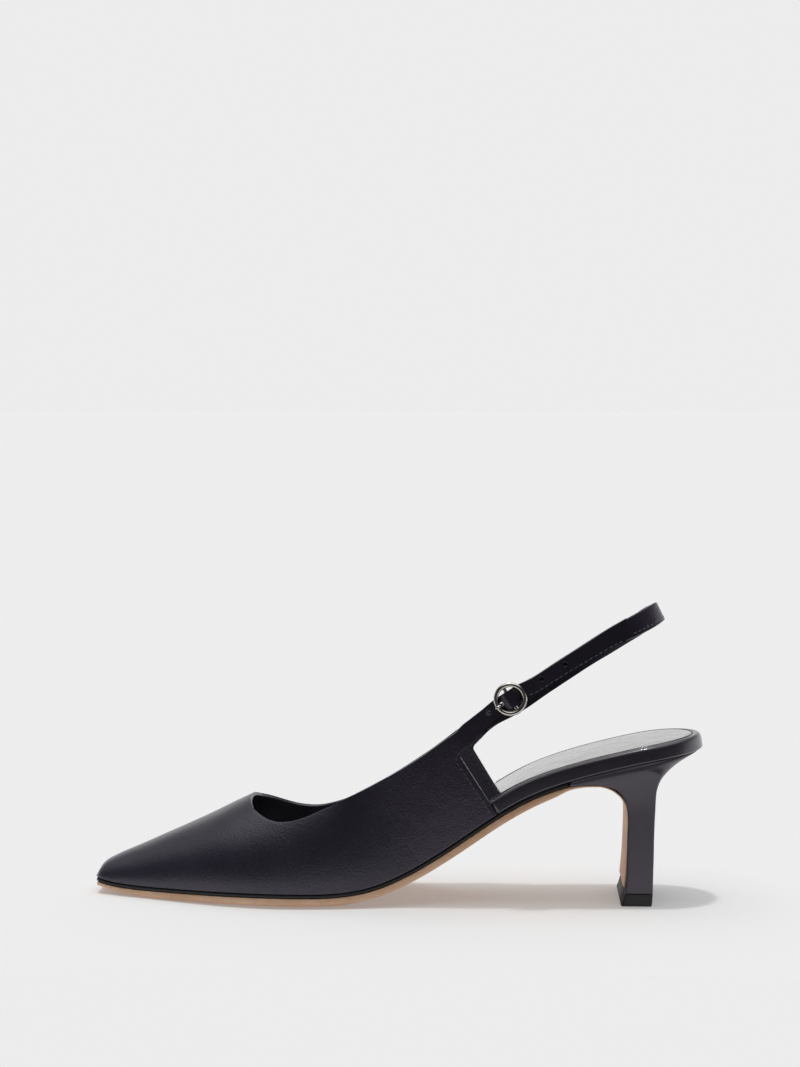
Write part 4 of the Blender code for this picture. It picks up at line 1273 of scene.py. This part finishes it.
@dataclass
class Sling:
    """The strap round the heel, from behind the medial wing to its fold over the buckle's bar.

    A row is station, height, place across, lean backwards and width. The fold has a slot for the prong.
    """

    last: Last
    tab: Tab
    finishes: Finishes
    slot: float = 1.9
    fold_thick: float = 0.7
    rows: tuple = (
        (90.0, 68.3, 22.9, 0.64, 6.4), (84.6, 71.3, 22.8, 0.64, 6.4), (79.3, 74.0, 22.9, 0.64, 6.5),
        (73.2, 77.6, 23.3, 0.64, 6.4), (66.6, 82.3, 23.6, 0.64, 6.5), (56.6, 89.2, 23.9, 0.64, 6.8),
        (46.8, 95.9, 23.8, 0.62, 7.1), (39.0, 101.0, 22.8, 0.58, 7.5), (32.4, 105.7, 20.4, 0.52, 8.0),
        (26.8, 109.8, 16.4, 0.46, 8.3), (21.9, 114.1, 10.6, 0.45, 8.4), (18.8, 116.5, 5.0, 0.48, 8.1),
        (18.0, 117.6, -1.0, 0.50, 7.8), (18.4, 118.0, -6.8, 0.50, 8.1), (20.8, 117.0, -12.0, 0.52, 8.4),
        (24.9, 115.1, -16.4, 0.56, 8.5), (29.6, 113.0, -19.8, 0.60, 8.2), (34.6, 110.8, -21.8, 0.64, 7.9),
        (40.4, 107.8, -22.9, 0.64, 7.2), (49.6, 102.2, -24.0, 0.64, 6.7), (59.1, 96.3, -24.7, 0.64, 6.4),
        (68.6, 90.2, -25.2, 0.64, 6.2), (73.9, 87.5, -25.5, 0.64, 6.1),
    )

    def frames(self) -> list[tuple[Vector, Vector, Vector, float]]:
        """Returns the point, the directions across the width and outwards, and the width along the sling."""
        table = spline([(self.last.origin - s, y, z, *shape) for s, z, y, *shape in self.rows], 240)
        found = []
        for k, (x, y, z, lean, width) in enumerate(table):
            ahead, back = table[min(k + 1, len(table) - 1)], table[max(k - 1, 0)]
            along = Vector(ahead[:3] - back[:3]).normalized()
            wide = Vector((-lean, 0.0, 1.0)).normalized()
            wide = (wide - along * wide.dot(along)).normalized()
            out = wide.cross(along).normalized()
            if out.dot(Vector((x - (self.last.origin - 60), y, 0.0))) < 0:
                out = -out
            found.append((Vector((x, y, z)), wide, out, width))
        return found

    def section(self, width: float, thick: float) -> list[tuple[float, float]]:
        """Returns the strap's section with folded, rounded edges: across and outwards."""
        r = min(0.5, thick * 0.48)
        corners = ((width / 2 - r, -r, 90, 0), (width / 2 - r, r - thick, 0, -90),
                   (r - width / 2, r - thick, -90, -180), (r - width / 2, -r, 180, 90))
        points = []
        for cx, cy, first, last in corners:
            for a in np.radians(np.linspace(first, last, 5)):
                points.append((cx + r * math.cos(a), cy + r * math.sin(a)))
        return points

    def build(self) -> bpy.types.Object:
        """Returns the sling."""
        rings = []
        for p, wide, out, width in self.frames():
            rings.append([p + wide * w + out * o for w, o in self.section(width, self.last.wall)])
        return make_piece(loft(rings), "sling", [self.finishes.calf])

    def build_fold(self) -> bpy.types.Object:
        """Returns the two narrow ends that wrap the bar on either side of the prong."""
        leg = (self.rows[-1][4] - self.slot) / 2 - 0.2
        middle = self.fold_thick / 2
        radius = self.tab.loop_radius - middle
        track = [(5.4, 0.6), (4.0, 0.75), (2.6, 1.05), (1.3, 1.25)]
        track += [(radius * math.cos(a), radius * math.sin(a)) for a in np.radians(np.linspace(75, 285, 15))]
        track += [(1.3, -1.3), (2.6, -1.15), (4.0, -0.95), (5.4, -0.85)]
        wide, shape = self.tab.wide, self.section(leg, self.fold_thick)
        both = bmesh.new()
        for side in (-1, 1):
            origin = self.tab.bar() + wide * (side * (self.slot + leg) / 2)
            path = self.tab.bend(track, origin, 60)
            part = loft([[at + wide * w - normal * (o + middle) for w, o in shape] for at, normal in path])
            spare = bpy.data.meshes.new("spare")
            part.to_mesh(spare)
            part.free()
            both.from_mesh(spare)
            bpy.data.meshes.remove(spare)
        return make_piece(both, "sling_fold", [self.finishes.calf])


@dataclass
class Buckle:
    """Round buckle: ring, bar between two posts, and the prong that turns on the bar."""

    tab: Tab
    finishes: Finishes
    radius: float = 5.78
    bar_radius: float = 0.75
    bar_half: float = 5.9
    post_radius: float = 0.8
    eye: float = 1.25

    def build_ring(self) -> bpy.types.Object:
        """Returns the ring with its bar and posts."""
        bm = bmesh.new()
        section = bmesh.ops.create_circle(bm, segments=24, radius=self.tab.ring_tube * MM)["verts"]
        for vert in section:
            vert.co = Vector((vert.co.x + self.radius * MM, 0.0, vert.co.y))
        turn = {"cent": (0, 0, 0), "axis": (0, 0, 1), "angle": 2 * math.pi, "steps": 96, "use_merge": True}
        bmesh.ops.spin(bm, geom=bm.verts[:] + bm.edges[:], **turn)
        stand(bm, bm.verts, self.tab.out, self.tab.centre())
        bar, half, out = self.tab.bar(), self.tab.wide * self.bar_half, self.tab.out
        self.rod(bm, bar - half, bar + half, self.bar_radius)
        for side in Side:
            foot = bar + self.tab.wide * (self.radius * side.sign)
            self.rod(bm, foot - out * 0.6, foot + out * self.tab.bar_depth, self.post_radius)
        bmesh.ops.recalc_face_normals(bm, faces=bm.faces[:])
        return make_piece(bm, "buckle_ring_polished", [self.finishes.nickel])

    def rod(self, bm: bmesh.types.BMesh, start: Vector, end: Vector, radius: float) -> None:
        """Adds a rod with rounded ends between two points.

        Args:
            bm: The bmesh that it goes into.
            start: One end in millimetres.
            end: The other end.
            radius: Its radius.
        """
        made = cylinder(bm, start, end, radius, 24)
        edges = {e for v in made for e in v.link_edges}
        rims = [e for e in edges if e.is_manifold and e.calc_face_angle(0) > 1.2]
        bmesh.ops.bevel(
            bm, geom=rims, offset=radius * 0.4 * MM, offset_type="OFFSET", segments=3, profile=0.5,
            affect="EDGES", material=-1,
        )

    def build_prong(self) -> bpy.types.Object:
        """Returns the prong: an eye round the bar and a pin that rests on the ring."""
        angles = np.radians(np.linspace(150, -140, 16))
        turn = [(self.eye * math.cos(a), -self.tab.bar_depth + self.eye * math.sin(a)) for a in angles]
        pin = [
            (-1.9, -2.3), (-2.7, -2.4), (-3.3, -2.35), (-3.7, -1.85), (-3.85, -1.1), (-4.0, -0.3),
            (-4.35, 0.45), (-4.95, 1.05), (-5.8, 1.5), (-6.5, 1.4), (-6.9, 1.15),
        ]
        count = 90
        rings = []
        for k, (at, normal) in enumerate(self.tab.bend(turn + pin, self.tab.centre(), count)):
            thickening = 0.45 + 0.13 * clamp((k - 66) / 14)
            r = thickening * min(1.0, (count - k) / 6) ** 0.5
            circle = np.linspace(0, 2 * math.pi, 17)[:-1]
            rings.append([at + (normal * math.sin(a) + self.tab.wide * math.cos(a)) * r for a in circle])
        return make_piece(loft(rings), "buckle_prong_polished", [self.finishes.nickel])


@dataclass
class Stitching:
    """Rows of lock stitches, each thread loop a small grain whose ends sag into the leather.

    Margins are distances from the wing's back edge, the top line, the sling's lower edge and the tab's end.
    The top line is sewn between two stations, and the sling between two of its frames.
    """

    upper: Upper
    sling: Sling
    finishes: Finishes
    pitch: float = 2.3
    length: float = 1.75
    thread: float = 0.34
    lift: float = 0.03
    sag: float = 0.10
    wing_margin: float = 1.7
    top_margin: float = 2.6
    strap_margin: float = 1.5
    tack_margin: float = 1.9
    top_run: tuple = (182.0, 96.0)
    strap_run: tuple = (20, 172)
    past_ring: float = 7.5

    def row(self, bm: bmesh.types.BMesh, path: Path) -> None:
        """Sews one row.

        Args:
            bm: The bmesh that the stitches go into.
            path: Points on the leather with their normals, in order.
        """
        points = np.array([tuple(p) for p, _ in path])
        normals = np.array([tuple(n) for _, n in path])
        run = np.concatenate(([0], np.cumsum(np.linalg.norm(np.diff(points, axis=0), axis=1))))
        count = int(run[-1] // self.pitch)
        for k in range(count):
            mid = (k + 0.5) * self.pitch
            back, at, ahead = (
                Vector([np.interp(mid + d, run, points[:, c]) for c in range(3)]) for d in (-0.4, 0.0, 0.4)
            )
            normal = Vector([np.interp(mid, run, normals[:, c]) for c in range(3)]).normalized()
            along = (ahead - back).normalized()
            side = normal.cross(along).normalized()
            made = bmesh.ops.create_uvsphere(bm, u_segments=8, v_segments=6, radius=1.0)["verts"]
            for vert in made:
                a, b, c = vert.co
                flat = along * (c * self.length / 2) + side * (a * self.thread / 2)
                vert.co = (at + flat + normal * (b * self.thread / 2 + self.lift - self.sag * c * c)) * MM

    def on_wing(self, side: Side, inside: bool) -> Path:
        """Path down a wing's back edge.

        Args:
            side: The wing.
            inside: Whether it lies on the lining rather than on the outer face.

        Returns:
            Points with their normals, from the strap to the feather.
        """
        last, upper, path = self.upper.last, self.upper, []
        end = last.wing_ends[side.value]
        top = last.phi_at(end, upper.top[side.value](end))
        for v in np.linspace(upper.strap_shares[side.value] + 0.02, 0.03, 60):
            s = end + self.wing_margin - upper.notch_shift(v, side) * 0.9
            phi = side.angle(top * v)
            p, normal = last.point(s, phi), last.normal(s, phi, side)
            path.append((p - normal * last.wall, -normal) if inside else (p, normal))
        return path

    def under_top_line(self, side: Side) -> Path:
        """Returns the path on the lining under the top line, from the throat back to the strap."""
        last, path = self.upper.last, []
        for s in np.linspace(*self.top_run, 160):
            phi = side.angle(last.phi_at(s, self.upper.top[side.value](s) - self.top_margin))
            normal = last.normal(s, phi, side)
            path.append((last.point(s, phi) - normal * last.wall, -normal))
        return path

    def build(self) -> bpy.types.Object:
        """Returns every stitch of the shoe as one piece."""
        bm = bmesh.new()
        for side in Side:
            for inside in (False, True):
                self.row(bm, self.on_wing(side, inside))
            self.row(bm, self.under_top_line(side))
        strap = self.sling.frames()[slice(*self.strap_run)]
        self.row(bm, [(p - wide * (width / 2 - self.strap_margin), out) for p, wide, out, width in strap])
        tab, rows = self.upper.tab, self.upper.tab_rows
        free = [row for row in rows if row[0].x > tab.centre().x + self.past_ring]
        self.row(bm, [(row[0].lerp(row[-1], 0.07), tab.out) for row in free])
        low, high = (point - tab.along * self.tack_margin for point in (rows[-1][0], rows[-1][-1]))
        self.row(bm, [(low.lerp(high, share), tab.out) for share in np.linspace(0.05, 0.98, 9)])
        return make_piece(bm, "stitching", [self.finishes.thread])


@dataclass
class Studio:
    """A pale shooting table, a neutral surround and one small lamp almost overhead, in metres and degrees."""

    backdrop: str = "#ececec"
    table_size: float = 60.0
    table_front: float = -0.14
    lamp_energy: float = 0.94
    lamp_angle: float = 4.0
    lamp_from: tuple = (-0.10, -0.01, 1.0)
    lens: float = 82.3
    camera_at: tuple = (-0.0509, -0.9930, 0.2019)
    yaw: float = 2.6
    pitch: float = 3.06

    def surround(self) -> None:
        """Sets the surround: dim behind the camera, bright beyond the shoe and overhead, grey to the eye."""
        world = bpy.data.worlds.new("studio")
        bpy.context.scene.world = world
        world.use_nodes = True
        tree = world.node_tree
        tree.nodes.clear()
        way = add_node(tree, "ShaderNodeTexCoord").outputs["Generated"]
        parts = add_node(tree, "ShaderNodeSeparateXYZ", {0: way})

        def rise(axis: str, begin: float, end: float, low: float, high: float) -> bpy.types.NodeSocket:
            """Returns the smooth change from low to high between two places on an axis."""
            span = {"From Min": begin, "From Max": end, "To Min": low, "To Max": high}
            return spread(tree, parts.outputs[axis], span, interpolation_type="SMOOTHSTEP")

        beyond = rise("Y", -0.30, 0.45, 0.05, 0.84)
        dusk = rise("Z", 0.20, 0.42, 1.0, 0.36)
        above = rise("Z", 0.62, 0.92, 0.0, 1.3)
        glow = combine(tree, "MAXIMUM", combine(tree, "MULTIPLY", beyond, dusk), above)
        soft = add_node(tree, "ShaderNodeBackground", {"Color": linear("#ffffff"), "Strength": glow})
        plain = add_node(tree, "ShaderNodeBackground", {"Color": linear(self.backdrop), "Strength": 1.0})
        seen = add_node(tree, "ShaderNodeLightPath").outputs["Is Camera Ray"]
        mixed = add_node(tree, "ShaderNodeMixShader", {0: seen, 1: soft.outputs[0], 2: plain.outputs[0]})
        add_node(tree, "ShaderNodeOutputWorld", {"Surface": mixed.outputs[0]})

    def floor(self) -> None:
        """Sets the table; its front edge is near the shoe, so that upright leather mirrors the dark room."""
        bm = bmesh.new()
        for vert in bmesh.ops.create_grid(bm, x_segments=1, y_segments=1, size=self.table_size)["verts"]:
            vert.co.y = max(vert.co.y, self.table_front)
        make_piece(bm, "floor", [ShootingTable().build()])

    def lamp(self) -> None:
        """Hangs the lamp almost overhead, a little to the toe's side."""
        data = bpy.data.lights.new("overhead", "SUN")
        data.energy = self.lamp_energy
        data.angle = math.radians(self.lamp_angle)
        lamp = bpy.data.objects.new("overhead", data)
        lamp.rotation_euler = Vector(self.lamp_from).to_track_quat("Z", "Y").to_euler()
        bpy.context.scene.collection.objects.link(lamp)

    def camera(self) -> None:
        """Sets the camera at the photograph's place and angle."""
        data = bpy.data.cameras.new("camera")
        data.lens = self.lens
        data.sensor_width = 36.0
        data.sensor_fit = "AUTO"
        camera = bpy.data.objects.new("camera", data)
        yaw, pitch = math.radians(self.yaw), math.radians(self.pitch)
        ahead = Vector((-math.sin(yaw) * math.cos(pitch), math.cos(yaw) * math.cos(pitch), -math.sin(pitch)))
        camera.location = self.camera_at
        camera.rotation_euler = ahead.to_track_quat("-Z", "Y").to_euler()
        bpy.context.scene.collection.objects.link(camera)
        bpy.context.scene.camera = camera

    def tones(self) -> None:
        """Shows tones as they are, so that the table stays the grey it is painted and black stays black."""
        view = bpy.context.scene.view_settings
        view.view_transform = "Standard"
        view.look = "None"


def install(piece: bpy.types.Object, slot: str, *nodes: str) -> None:
    """Rides a piece on the shoe, hides the CAD nodes it stands for, and reports it.

    Args:
        piece: The finished piece.
        slot: Not used.
        *nodes: CAD nodes that it replaces.
    """
    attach(piece, "root")
    if nodes:
        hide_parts(*nodes)
    log.info("%s: %d faces", piece.name, len(piece.data.polygons))


def main() -> None:
    """Builds the shoe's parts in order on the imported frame."""
    logging.basicConfig(level=logging.INFO, format="%(name)s: %(message)s")
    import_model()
    studio = Studio()
    studio.camera()
    studio.surround()
    studio.floor()
    studio.lamp()
    studio.tones()
    finishes = Finishes.make()
    last = Last()
    tab = Tab(last)
    upper = Upper(last, tab, finishes)
    install(upper.build(), "black_leather", "upper")
    bed = Bed(last, finishes)
    install(bed.build_rim(), "rim_leather", "insole")
    install(bed.build_sock(), "sock_leather", "sock")
    install(bed.build_midsole(), "black_edge", "midsole")
    install(Outsole(last, finishes).build(), "tan_leather", "outsole")
    heel = Heel(last, finishes)
    install(heel.build(), "heel_cover", "heel")
    install(heel.build_top_piece(), "rubber", "top_piece")
    sling = Sling(last, tab, finishes)
    install(sling.build(), "black_leather", "sling_strap")
    install(sling.build_fold(), "black_leather")
    buckle = Buckle(tab, finishes)
    install(buckle.build_ring(), "polished_metal", "buckle_ring")
    install(buckle.build_prong(), "polished_metal", "buckle_prong")
    install(Stitching(upper, sling, finishes).build(), "black_leather")


if __name__ == "__main__":
    main()
